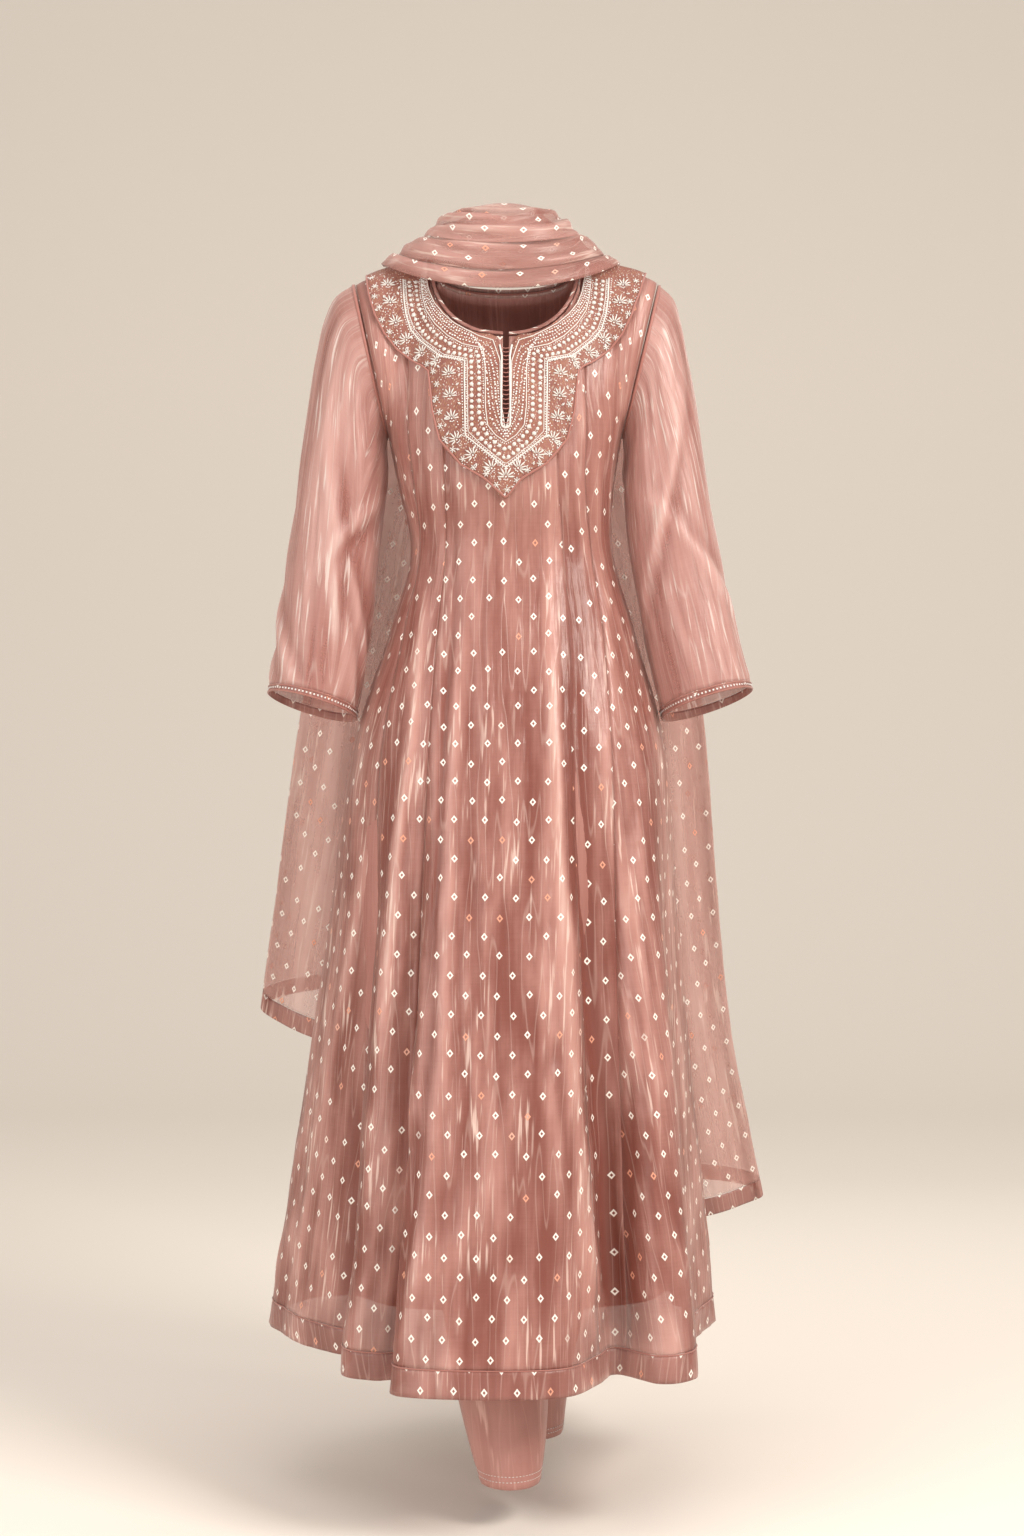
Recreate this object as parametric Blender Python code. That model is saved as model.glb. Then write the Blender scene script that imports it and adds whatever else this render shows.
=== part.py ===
"""A salwar kameez suit as it is worn: a flared kameez with its lining, trousers and a dupatta round the neck.

Metres, +Z up. The suit faces -Y and the origin is between the neck points at shoulder level.
Names ending in _r are on the wearer's right, at -X, and names ending in _l on the wearer's left.
Every piece is a thin wall: a grid of outer points, the same grid moved inwards, and a rim round its edge.
"""

import math

import bmesh
import bpy
import numpy as np
from mathutils.bvhtree import BVHTree

# ---- driving dimensions ----
CLOTH = 0.0012
DOUBLED = 0.0020
SEAM = 0.0003
PANEL_GAP = 0.0004
BAND = 0.030
CUFF_BAND = 0.009
CUFF_PROUD = 0.0003
SLEEVE_HEAD_GAP = 0.00042
BINDING = 0.005
BINDING_OUT = 0.0014
BINDING_IN = 0.0012
NECK_CLEAR = 0.0012
ARMPIT_Z = -0.198
HIP_Z = -0.547
HEM_Z = -1.265
HEM_FRONT_DROP = 0.012
PLAN_POWER = 2.3
CHEST_POWER = 1.7
BACK_POWER = 2.2
ARMHOLE_DEPTH = 0.056
SHOULDER_DEPTH = 0.080
NECK_ANGLE = 37.0
NECK_SNAP = 0.8
NECK_X = -0.005
NECK_HALF = 0.086
NECK_TOP_Z = 0.013
NECK_FRONT_Z = -0.087
NECK_BACK_Z = -0.012
NECK_POWER = 2.3
SLIT_X = -0.0035
SLIT_HALF = 0.0035
LINING_HEM_Z = -1.205

ROSE = (0.46, 0.21, 0.17)
DEEP_ROSE = (0.32, 0.13, 0.11)
IVORY = (0.72, 0.60, 0.52)

# ---- tables: one row for each section or fold ----
BODY = {  # half widths to -X and +X, half depths to front and back, and how far seams spread (degrees)
    "columns": ("z", "right", "left", "front", "back", "spread"),
    "bust": (ARMPIT_Z, 0.1452, 0.1360, 0.108, 0.100, 2.0),
    "rib": (-0.262, 0.1320, 0.1260, 0.112, 0.094, 6.0),
    "waist": (-0.328, 0.1180, 0.1240, 0.099, 0.086, 11.0),
    "upper_hip": (-0.430, 0.1425, 0.1510, 0.116, 0.110, 7.0),
    "hip": (HIP_Z, 0.1812, 0.1824, 0.150, 0.150, 0.0),
}
SHOULDER = {
    "columns": ("x", "z"),
    "neck": (0.086, 0.013),
    "scarf": (0.120, 0.008),
    "mid": (0.152, -0.001),
    "tip": (0.186, -0.016),
    "past": (0.230, -0.035),
}
SHOULDER_TIP = {"r": -0.184, "l": 0.178}
HEM = {  # where each fold's ridge or trough reaches the hem, by its angle at the hip (0 front, 90 at +X)
    "columns": ("angle", "x", "y"),
    "side_r": (-90, -0.2916, 0.025),
    "side_r_front": (-80, -0.274, -0.020),
    "side_fold_r": (-68, -0.236, -0.085),
    "side_fold_r_edge": (-58, -0.197, -0.118),
    "trough_r": (-51, -0.181, -0.128),
    "front_fold_r_edge": (-46, -0.190, -0.188),
    "front_fold_r": (-41, -0.178, -0.218),
    "front_fold_r_in": (-33, -0.142, -0.228),
    "crease_r": (-27, -0.121, -0.222),
    "centre_edge_r": (-22, -0.132, -0.276),
    "centre_r": (-15, -0.100, -0.298),
    "centre": (0, -0.010, -0.306),
    "centre_l": (9, 0.052, -0.299),
    "centre_roll_l": (14, 0.080, -0.276),
    "centre_edge_l": (20, 0.1035, -0.228),
    "recess_l": (27, 0.115, -0.198),
    "front_fold_l_in": (37, 0.131, -0.207),
    "front_fold_l": (46, 0.166, -0.249),
    "front_fold_l_out": (54, 0.199, -0.242),
    "front_fold_l_edge": (60, 0.2137, -0.208),
    "trough_l": (68, 0.203, -0.128),
    "side_fold_l": (79, 0.228, -0.032),
    "side_l": (90, 0.2507, 0.030),
    "back_side_l": (100, 0.246, 0.085),
    "back_trough_1": (110, 0.206, 0.117),
    "back_fold_1": (121, 0.214, 0.178),
    "back_fold_1_in": (130, 0.183, 0.224),
    "back_trough_2": (139, 0.146, 0.204),
    "back_fold_2": (147, 0.134, 0.256),
    "back_fold_2_in": (158, 0.085, 0.284),
    "back_trough_3": (168, 0.046, 0.252),
    "back_fold_3": (177, 0.012, 0.286),
    "back_fold_3_in": (190, -0.040, 0.298),
    "back_fold_4": (200, -0.085, 0.280),
    "back_trough_4": (208, -0.106, 0.236),
    "back_fold_5": (217, -0.140, 0.257),
    "back_fold_5_in": (228, -0.188, 0.236),
    "back_trough_5": (238, -0.200, 0.180),
    "back_fold_6": (248, -0.245, 0.165),
    "back_side_r": (258, -0.278, 0.106),
}
PANELS = {  # the folds between which each kameez panel is cut
    "columns": ("from", "to"),
    "front_side_r": ("side_r", "trough_r"),
    "front_mid_r": ("trough_r", "crease_r"),
    "front_centre": ("crease_r", "centre_edge_l"),
    "front_mid_l": ("centre_edge_l", "front_fold_l_in"),
    "front_side_l": ("front_fold_l_in", "side_l"),
    "back_side_l": ("side_l", "back_fold_1"),
    "back_mid_l": ("back_fold_1", "back_trough_2"),
    "back_centre": ("back_trough_2", "back_trough_4"),
    "back_mid_r": ("back_trough_4", "back_trough_5"),
    "back_side_r": ("back_trough_5", "side_r"),
}
UPPER_ROWS = (1.0, 0.9, 0.77, 0.6, 0.4, 0.2)
BODY_ROWS = (ARMPIT_Z, -0.262, -0.328, -0.43, HIP_Z)
SKIRT_ROWS = (0.33, 0.66)

SLEEVE = {  # the outer and inner line of a sleeve seen from the front, its half depth, place in y and tilt
    "columns": ("outer_x", "outer_z", "inner_x", "inner_z", "depth", "y", "tilt"),
    "r": (
        (-0.184, -0.0150, -0.1452, -0.198, ARMHOLE_DEPTH, 0.0, 0.0),
        (-0.207, -0.0300, -0.1462, -0.207, 0.0585, 0.0, 0.0),
        (-0.2205, -0.058, -0.1462, -0.219, 0.061, 0.0, 0.0),
        (-0.2304, -0.101, -0.1445, -0.237, 0.064, -0.001, 0.0),
        (-0.2400, -0.160, -0.1460, -0.264, 0.066, -0.003, 1.0),
        (-0.2500, -0.228, -0.1505, -0.302, 0.067, -0.006, 2.0),
        (-0.2590, -0.305, -0.1560, -0.352, 0.067, -0.011, 3.0),
        (-0.2690, -0.378, -0.1610, -0.407, 0.066, -0.018, 5.0),
        (-0.2770, -0.445, -0.1680, -0.465, 0.064, -0.027, 7.5),
        (-0.2850, -0.508, -0.1815, -0.537, 0.061, -0.037, 9.5),
    ),
    "l": (
        (0.178, -0.0155, 0.1360, -0.198, ARMHOLE_DEPTH, 0.0, 0.0),
        (0.1965, -0.0320, 0.1370, -0.207, 0.0585, 0.0, 0.0),
        (0.2055, -0.060, 0.1380, -0.219, 0.061, 0.0, 0.0),
        (0.2130, -0.100, 0.1375, -0.237, 0.064, -0.001, 0.0),
        (0.2235, -0.158, 0.1375, -0.264, 0.066, -0.003, 1.0),
        (0.2335, -0.230, 0.1400, -0.304, 0.067, -0.006, 2.0),
        (0.2450, -0.310, 0.1465, -0.355, 0.067, -0.011, 3.0),
        (0.2605, -0.385, 0.1560, -0.410, 0.066, -0.018, 5.0),
        (0.2745, -0.448, 0.1660, -0.465, 0.064, -0.027, 7.5),
        (0.2880, -0.504, 0.1815, -0.537, 0.061, -0.037, 9.5),
    ),
}
SLEEVE_COLUMNS = 18

LINING = {  # half widths and depths of the slip below the hip
    "columns": ("z", "right", "left", "front", "back"),
    "hip": (HIP_Z, 0.1752, 0.1764, 0.144, 0.144),
    "knee": (-0.870, 0.196, 0.190, 0.176, 0.176),
    "hem": (LINING_HEM_Z, 0.2075, 0.2000, 0.204, 0.206),
}

LEGS = {  # centre, half width and half depth of each trouser leg below the fork
    "columns": ("z", "x", "y", "half", "depth"),
    "r": (
        (-0.720, -0.083, 0.000, 0.080, 0.095),
        (-0.810, -0.076, -0.016, 0.075, 0.086),
        (-0.900, -0.067, -0.036, 0.069, 0.077),
        (-1.080, -0.043, -0.075, 0.060, 0.066),
        (-1.230, -0.020, -0.110, 0.055, 0.060),
        (-1.316, -0.007, -0.130, 0.052, 0.056),
        (-1.365, -0.002, -0.142, 0.044, 0.053),
        (-1.4046, 0.0013, -0.150, 0.0355, 0.050),
    ),
    "l": (
        (-0.720, 0.083, 0.000, 0.080, 0.095),
        (-0.810, 0.079, 0.008, 0.075, 0.086),
        (-0.900, 0.074, 0.020, 0.069, 0.077),
        (-1.080, 0.060, 0.040, 0.060, 0.066),
        (-1.230, 0.044, 0.056, 0.053, 0.059),
        (-1.320, 0.033, 0.066, 0.046, 0.054),
        (-1.368, 0.029, 0.072, 0.042, 0.052),
        (-1.409, 0.0275, 0.076, 0.039, 0.050),
    ),
}
PELVIS = {
    "columns": ("z", "half", "front", "back", "fork"),
    "hip": (-0.520, 0.1530, 0.1180, 0.1240, 0.0),
    "seat": (-0.610, 0.1600, 0.1200, 0.1300, 0.0),
    "fork_1": (-0.665, 0.1620, 0.1150, 0.1250, 0.30),
    "fork_2": (-0.700, 0.1630, 0.1080, 0.1150, 0.65),
}
WAISTBAND_TOP = -0.375
WAIST_INSET = 0.0075
CENTRE_GAP = 0.0004
WAISTBAND_BOTTOM = -0.413
LEG_COLUMNS = 6

COWL = {  # the scarf round the neck: its side, front and back from the top edge down
    "columns": ("right", "left", "front", "back", "side_z", "front_z", "back_z"),
    "top": (0.046, 0.042, 0.050, 0.058, 0.080, 0.077, 0.080),
    "quarter": (0.070, 0.065, 0.062, 0.066, 0.0630, 0.0500, 0.0620),
    "half": (0.094, 0.088, 0.073, 0.073, 0.0440, 0.0225, 0.0420),
    "low": (0.124, 0.116, 0.083, 0.079, 0.0215, -0.0110, 0.0190),
    "edge": (0.148, 0.138, 0.090, 0.085, 0.0092, -0.0360, -0.0020),
}
COWL_HEIGHTS = (0.0, 0.25, 0.5, 0.78, 1.0)
COWL_Y = 0.004
COWL_END = 100.0
TUCK = 0.0075
WRAPS = {  # stretches across the front: heights on the cowl, bulge, ripples and their depth, sideways drift
    "columns": ("top", "bottom", "bulge", "ripples", "ripple", "drift", "rows"),
    "dupatta_front_upper": (0.00, 0.52, 0.0050, 3.0, 0.0028, 0.9, 11),
    "dupatta_front_middle": (0.47, 0.80, 0.0060, 1.5, 0.0016, -0.5, 7),
    "dupatta_front_lower": (0.75, 1.00, 0.0050, 1.0, 0.0014, 0.4, 6),
}
ENDS = {  # hanging ends: inner and outer edge, place, layer gap, height of front inner and back inner corners
    "columns": ("z", "inner", "outer", "y", "gap", "front_drop", "back_rise", "ripple"),
    "r": (
        (0.0002, -0.080, -0.124, 0.0785, 0.008, 0.000, 0.000, 0.0005),
        (-0.045, -0.082, -0.158, 0.108, 0.010, 0.000, 0.000, 0.0010),
        (-0.160, -0.080, -0.195, 0.137, 0.014, 0.005, 0.000, 0.0030),
        (-0.330, -0.078, -0.232, 0.146, 0.020, 0.010, 0.004, 0.0060),
        (-0.530, -0.076, -0.267, 0.180, 0.026, 0.018, 0.010, 0.0090),
        (-0.730, -0.074, -0.298, 0.228, 0.032, 0.045, 0.025, 0.0110),
        (-0.907, -0.072, -0.325, 0.268, 0.036, 0.085, 0.045, 0.0130),
    ),
    "l": (
        (0.0008, 0.080, 0.119, 0.0750, 0.008, 0.000, 0.000, 0.0005),
        (-0.045, 0.082, 0.152, 0.108, 0.010, 0.000, 0.000, 0.0010),
        (-0.160, 0.080, 0.186, 0.137, 0.014, 0.004, 0.000, 0.0030),
        (-0.330, 0.078, 0.218, 0.146, 0.020, 0.008, 0.004, 0.0060),
        (-0.534, 0.076, 0.248, 0.180, 0.026, 0.012, 0.008, 0.0090),
        (-0.750, 0.074, 0.269, 0.232, 0.032, 0.020, 0.014, 0.0110),
        (-0.960, 0.072, 0.295, 0.280, 0.034, 0.035, 0.022, 0.0120),
        (-1.160, 0.070, 0.337, 0.318, 0.036, 0.055, 0.035, 0.0120),
    ),
}
END_BAND = 0.023
END_DOUBLED = 0.0016
END_COLUMNS = 10
WRAP_COLUMNS = 21
NAPE_ROWS = 9
NAPE_COLUMNS = 15
NAPE_LIFT = 0.003
NAPE_RIPPLES = 2.5
NAPE_DRIFT = 0.4


# ---- helpers ----
def clear_scene():
    for obj in list(bpy.data.objects):
        bpy.data.objects.remove(obj)


def make_material(name, color, roughness):
    made = bpy.data.materials.new(name)
    made.use_nodes = True
    shader = made.node_tree.nodes["Principled BSDF"]
    shader.inputs["Base Color"].default_value = (*color, 1.0)
    shader.inputs["Roughness"].default_value = roughness
    shader.inputs["Metallic"].default_value = 0.0
    return made


def rows_of(table):
    """A table's rows as one array, in their order."""
    return np.array([row for name, row in table.items() if name != "columns"], float)


def smooth(values, at):
    """Values at a fractional row, on a curve through the rows."""
    values = np.asarray(values, float)
    last = len(values) - 1
    at = min(max(at, 0.0), last)
    i = min(int(at), last - 1)
    t = at - i
    before = values[i - 1] if i > 0 else 2 * values[0] - values[1]
    after = values[i + 2] if i + 2 <= last else 2 * values[last] - values[last - 1]
    p, q = values[i], values[i + 1]
    return 0.5 * (
        2 * p + (q - before) * t + (2 * before - 5 * p + 4 * q - after) * t**2
        + (3 * p - before - 3 * q + after) * t**3
    )


def row_at(keys, key):
    """The fractional row at which a column of rising or falling keys reaches a value."""
    places = np.arange(len(keys))
    return float(np.interp(key, keys, places) if keys[0] < keys[-1] else np.interp(-key, -keys, places))


def by_key(rows, key):
    """A table's row at a value of its first column."""
    return smooth(rows, row_at(rows[:, 0], key))


def power(value, exponent):
    return math.copysign(abs(value) ** exponent, value)


def unit(vectors):
    return vectors / np.maximum(np.linalg.norm(vectors, axis=-1, keepdims=True), 1e-12)


def normals_of(grid, closed=False):
    """Outward normals of a grid whose columns run left to right and rows downward, seen from outside."""
    if closed:
        along = np.roll(grid, -1, 1) - np.roll(grid, 1, 1)
    else:
        along = np.gradient(grid, axis=1)
    return unit(np.cross(along, -np.gradient(grid, axis=0)))


def wall(name, outer, inner, material, closed=False, keep=None):
    """A closed solid between two grids of points, each cell split along one diagonal; keep picks cells."""
    rows, columns = outer.shape[:2]
    across = columns if closed else columns - 1
    mesh = bmesh.new()
    outside = [[mesh.verts.new(p) for p in row] for row in outer]
    inside = [[mesh.verts.new(p) for p in row] for row in inner]
    edges = {}
    for r in range(rows - 1):
        for c in range(across):
            if keep is not None and not keep[r][c]:
                continue
            d = (c + 1) % columns
            loop = [(r, c), (r + 1, c), (r + 1, d), (r, d)]
            for half in (loop[:3], [loop[0], *loop[2:]]):
                mesh.faces.new([outside[i][j] for i, j in half])
                mesh.faces.new([inside[i][j] for i, j in reversed(half)])
            for start, end in zip(loop, loop[1:] + loop[:1]):
                if edges.pop((end, start), None) is None:
                    edges[(start, end)] = True
    for (i, j), (k, m) in edges:
        mesh.faces.new([outside[k][m], outside[i][j], inside[i][j], inside[k][m]])
    loose = [v for v in mesh.verts if not v.link_faces]
    bmesh.ops.delete(mesh, geom=loose, context="VERTS")
    data = bpy.data.meshes.new(name)
    mesh.to_mesh(data)
    mesh.free()
    data.materials.append(material)
    data.shade_smooth()
    data.set_sharp_from_angle(angle=math.radians(50))
    obj = bpy.data.objects.new(name, data)
    bpy.context.scene.collection.objects.link(obj)
    return obj


def drawn_in(grid, rows=False, by=SEAM / 2):
    """The grid with its side columns, or its first and last rows, moved in from the seam."""
    grid = grid.copy()
    turned = grid if rows else grid.swapaxes(0, 1)
    turned[0] += by * unit(turned[1] - turned[0])
    turned[-1] += by * unit(turned[-2] - turned[-1])
    return grid


def side_moved(grid, column, by):
    """The grid with its first or last column moved in from the seam."""
    grid = grid.copy()
    beside = grid[:, 1] if column == 0 else grid[:, -2]
    grid[:, column] += by * unit(beside - grid[:, column])
    return grid


# ---- kameez form ----
BODY_TABLE = rows_of(BODY)
HEM_TABLE = rows_of(HEM)
HEM_NAMES = [name for name in HEM if name != "columns"]
SHOULDER_TABLE = rows_of(SHOULDER)
ARMPIT_ROW = len(UPPER_ROWS)


def plan_point(section, angle):
    """A point of a rounded section (half widths right and left, half depths front and back)."""
    right, left, front, back = section
    s = math.sin(math.radians(angle))
    c = math.cos(math.radians(angle))
    x = (left if s > 0 else right) * power(s, 2 / PLAN_POWER)
    y = -(front if c > 0 else back) * power(c, 2 / PLAN_POWER)
    return x, y


def body_point(angle, z):
    row = by_key(BODY_TABLE, z)
    spread = angle + row[5] * math.sin(math.radians(2 * angle))
    return np.array([*plan_point(row[1:5], spread), z])


def hem_fold(place):
    """Angle at the hip and plan point at the hem, at a fractional fold of the hem table."""
    count = len(HEM_TABLE)
    i = int(math.floor(place))
    t = place - i
    around = []
    for k in (-1, 0, 1, 2):
        row = HEM_TABLE[(i + k) % count].copy()
        row[0] += 360 * ((i + k) // count)
        around.append(row)
    return smooth(np.array(around), 1 + t)


def skirt_point(angle, fold, drop):
    """A point of the skirt, where drop runs from 0 at the hip to 1 at the hem."""
    hip = body_point(angle, HIP_Z)
    front = max(0.0, math.cos(math.radians(angle)))
    hem = np.array([fold[1], fold[2], HEM_Z - HEM_FRONT_DROP * front])
    return hip + (hem - hip) * drop


def neck_point(turn, front, grow):
    """The neckline in front view: turn from -90 to 90, grow the distance outside the binding's edge."""
    half = NECK_HALF + grow
    bottom = (NECK_FRONT_Z if front else NECK_BACK_Z) - grow
    x = NECK_X + half * power(math.sin(math.radians(turn)), 2 / NECK_POWER)
    z = NECK_TOP_Z - (NECK_TOP_Z - bottom) * power(math.cos(math.radians(turn)), 2 / NECK_POWER)
    return x, z


def bodice_point(angle, rise, front, grow=BINDING):
    """A point from the armpit (rise 0) to the shoulder seam or neckline (rise 1); angle 0 is the middle."""
    face = -1 if front else 1
    if abs(abs(angle) - NECK_ANGLE) < NECK_SNAP:
        angle = math.copysign(NECK_ANGLE, angle)
    turned = angle if front else 180 - angle
    low = body_point(turned, ARMPIT_Z)
    if abs(angle) <= NECK_ANGLE:
        top_x, top_z = neck_point(90 * angle / NECK_ANGLE, front, grow)
        crest = NECK_TOP_Z
    else:
        share = (abs(angle) - NECK_ANGLE) / (90 - NECK_ANGLE)
        tip = SHOULDER_TIP["l" if angle > 0 else "r"]
        start = neck_point(math.copysign(90, angle), front, grow)[0]
        top_x = start + (tip - start) * share
        top_z = crest = float(np.interp(abs(top_x), SHOULDER_TABLE[:, 0], SHOULDER_TABLE[:, 1]))
    shape = CHEST_POWER if front else BACK_POWER
    whole = crest - ARMPIT_Z
    end = math.asin(min(1.0, ((top_z - ARMPIT_Z) / whole) ** (shape / 2)))
    z = ARMPIT_Z + whole * math.sin(rise * end) ** (2 / shape)
    deep = low[1] + (face * max(abs(low[1]), SHOULDER_DEPTH) - low[1]) * min(1.0, rise / 0.5)
    y = deep * max(0.0, math.cos(rise * end)) ** (2 / shape)
    x = low[0] + (top_x - low[0]) * (z - ARMPIT_Z) / (top_z - ARMPIT_Z)
    point = np.array([x, y, z])
    edge = min(1.0, max(0.0, (abs(angle) / 90 - 0.62) / 0.38))
    edge = edge * edge * (3 - 2 * edge)
    if edge > 0:
        side = "l" if angle > 0 else "r"
        tip_x = SHOULDER_TIP[side]
        tip_z = float(np.interp(abs(tip_x), SHOULDER_TABLE[:, 0], SHOULDER_TABLE[:, 1]))
        pit = body_point(math.copysign(90, angle), ARMPIT_Z)
        top = np.array([tip_x, 0.0, tip_z])
        arc = (pit + top) / 2 - math.cos(math.pi * rise) * (top - pit) / 2
        arc[1] += face * ARMHOLE_DEPTH * math.sin(math.pi * rise)
        start = low if abs(angle) < 90 else pit
        shift = (1 - rise) * (start - pit) + rise * (np.array([top_x, 0.0, top_z]) - top)
        point = point + (arc + shift - point) * edge
    return point


def fold_places(first, last):
    """Places of the hem table from one fold to another, with one between each pair."""
    start = HEM_NAMES.index(first)
    end = HEM_NAMES.index(last)
    if end <= start:
        end += len(HEM_NAMES)
    return np.arange(2 * start, 2 * end + 1) / 2


def local_angle(place, front_side):
    """A column's angle from the middle of the front, or from the middle of the back."""
    angle = hem_fold(place)[0]
    return (angle + 180) % 360 - 180 if front_side else 180 - angle % 360


def kameez_column(place, front_side):
    """One column of outer points, from the shoulder or neckline down to the top of the hem band."""
    fold = hem_fold(place)
    angle = fold[0]
    local = local_angle(place, front_side)
    upper = [bodice_point(local, rise, front_side) for rise in UPPER_ROWS]
    body = [body_point(angle, z) for z in BODY_ROWS]
    stop = 1 - BAND / (HIP_Z - HEM_Z)
    skirt = [skirt_point(angle, fold, drop) for drop in (*SKIRT_ROWS, stop)]
    return upper + body + skirt


def kameez_grids():
    """Outer and inner points of the front and back, with normals shared across the side seams."""
    faces = {}
    ring = []
    for front_side, first, last in ((True, "side_r", "side_l"), (False, "side_l", "side_r")):
        places = fold_places(first, last)
        columns = np.array([kameez_column(place, front_side) for place in places])
        faces[front_side] = (places, columns.swapaxes(0, 1))
        ring.append(faces[front_side][1][ARMPIT_ROW:, :-1])
    ring = np.concatenate(ring, axis=1)
    ring_normals = normals_of(ring, closed=True)
    split = len(faces[True][0]) - 1
    made = {}
    for front_side, (places, grid) in faces.items():
        normals = normals_of(grid)
        low = ring_normals[:, :split] if front_side else ring_normals[:, split:]
        end = ring_normals[:, split] if front_side else ring_normals[:, 0]
        normals[ARMPIT_ROW:, :-1] = low
        normals[ARMPIT_ROW:, -1] = end
        for c, place in enumerate(places):
            if abs(local_angle(place, front_side)) >= NECK_ANGLE:
                normals[0, c, 1] = 0.0
        normals = unit(normals)
        made[front_side] = (places, grid, normals)
    return made


def with_slit(points, middle):
    """The points with their middle column doubled into the two edges of the placket slit."""
    wide = np.insert(points, middle, points[:, middle], axis=1)
    wide[: ARMPIT_ROW + 1, middle : middle + 2, 0] = SLIT_X
    wide[:, middle, 0] -= SLIT_HALF
    wide[:, middle + 1, 0] += SLIT_HALF
    return wide


def slit_faces(points, middle):
    """Which faces of a grid with a slit are kept."""
    keep = np.ones((len(points) - 1, points.shape[1] - 1), bool)
    keep[:ARMPIT_ROW, middle] = False
    return keep


def panel_solids(grids, material):
    for name, (first, last) in list(PANELS.items())[1:]:
        front_side = name.startswith("front")
        places, grid, normals = grids[front_side]
        wanted = fold_places(first, last)
        start = int(np.argmin(abs(places - wanted[0])))
        outer = grid[:, start : start + len(wanted)]
        facing = normals[:, start : start + len(wanted)]
        keep = None
        if name == "front_centre":
            middle = int(np.argmin(abs(outer[0, :, 0] - NECK_X)))
            outer = with_slit(outer, middle)
            facing = np.insert(facing, middle, facing[:, middle], axis=1)
            keep = slit_faces(outer, middle)
        inner = outer - CLOTH * facing
        outer, inner = (drawn_in(drawn_in(part, by=PANEL_GAP / 2), rows=True) for part in (outer, inner))
        wall(name, outer, inner, material, keep=keep)


def hem_bands(material):
    for name, first, last in (("front", "side_r", "side_l"), ("back", "side_l", "side_r")):
        top = 1 - BAND / (HIP_Z - HEM_Z)
        ring_places = np.arange(2 * len(HEM_NAMES)) / 2
        drops = (top, (1 + top) / 2, 1.0)
        ring = np.array([[skirt_point(hem_fold(p)[0], hem_fold(p), d) for p in ring_places] for d in drops])
        facing = normals_of(ring, closed=True)
        wanted = [int(2 * p) % len(ring_places) for p in fold_places(first, last)]
        outer = ring[:, wanted]
        inner = outer - DOUBLED * facing[:, wanted]
        outer, inner = (drawn_in(drawn_in(part), rows=True) for part in (outer, inner))
        wall("hem_band_" + name, outer, inner, material)


# ---- sleeves ----
def sleeve_ring(side, place):
    """One ring of a sleeve: from its outer line over the front to its inner line and round the back."""
    outer_x, outer_z, inner_x, inner_z, depth, y, tilt = smooth(SLEEVE[side], place)
    top = np.array([outer_x, y, outer_z])
    bottom = np.array([inner_x, y, inner_z])
    tilt = math.radians(tilt)
    forward = np.array([0.0, -math.cos(tilt), math.sin(tilt)]) * depth * (1 if side == "r" else -1)
    turns = 2 * math.pi * np.arange(SLEEVE_COLUMNS) / SLEEVE_COLUMNS
    half = (top - bottom) / 2
    return np.array([(top + bottom) / 2 + math.cos(t) * half + math.sin(t) * forward for t in turns])


def sleeve_solids(side, cloth, trim):
    last = len(SLEEVE[side]) - 1
    end = smooth(SLEEVE[side], last)
    before = smooth(SLEEVE[side], last - 1)
    band = CUFF_BAND / np.linalg.norm((end - before)[:2])
    rings = np.array([sleeve_ring(side, p) for p in (*range(last), last - band, last)])
    away = unit(np.cross(rings[0][0] - rings[0][SLEEVE_COLUMNS // 2], [0.0, 1.0, 0.0]))
    if away[0] * rings[0][0][0] < 0:
        away = -away
    rings[0] = rings[0] + away * SLEEVE_HEAD_GAP
    facing = normals_of(rings, closed=True)
    inner = rings - CLOTH * facing
    wall("sleeve_" + side, *(drawn_in(part[:-1], rows=True) for part in (rings, inner)), cloth, closed=True)
    proud = rings[-2:] + CUFF_PROUD * facing[-2:]
    deep = rings[-2:] - (DOUBLED - CUFF_PROUD) * facing[-2:]
    wall("cuff_band_" + side, *(drawn_in(part, rows=True) for part in (proud, deep)), trim, closed=True)


# ---- lining ----
LINING_TABLE = rows_of(LINING)
LINING_INSETS = (0.0010, 0.0026, 0.0038, 0.0046, 0.0052, 0.0054, 0.0045)
LINING_CORNER = 9
LINING_KNEE_Z = -0.870
LINING_ARMHOLE_INSET = 0.0012
LINING_GORE_TURN = 42
LINING_NECK_INSET = 0.0046
LINING_FLUTE = 0.020
LINING_FLUTES = 9
LINING_FLUTE_TURN = 20


def lining_ring(angles, z):
    """A ring of the slip below the hip, with soft flutes that grow towards its hem."""
    row = by_key(LINING_TABLE, z)
    growth = (z - HIP_Z) / (LINING_HEM_Z - HIP_Z)
    points = []
    for angle in angles:
        x, y = plan_point(row[1:5], angle)
        flute = 1 + LINING_FLUTE * growth * math.sin(math.radians(LINING_FLUTES * angle + LINING_FLUTE_TURN))
        points.append([x * flute, y * flute, z])
    return np.array(points)


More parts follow.
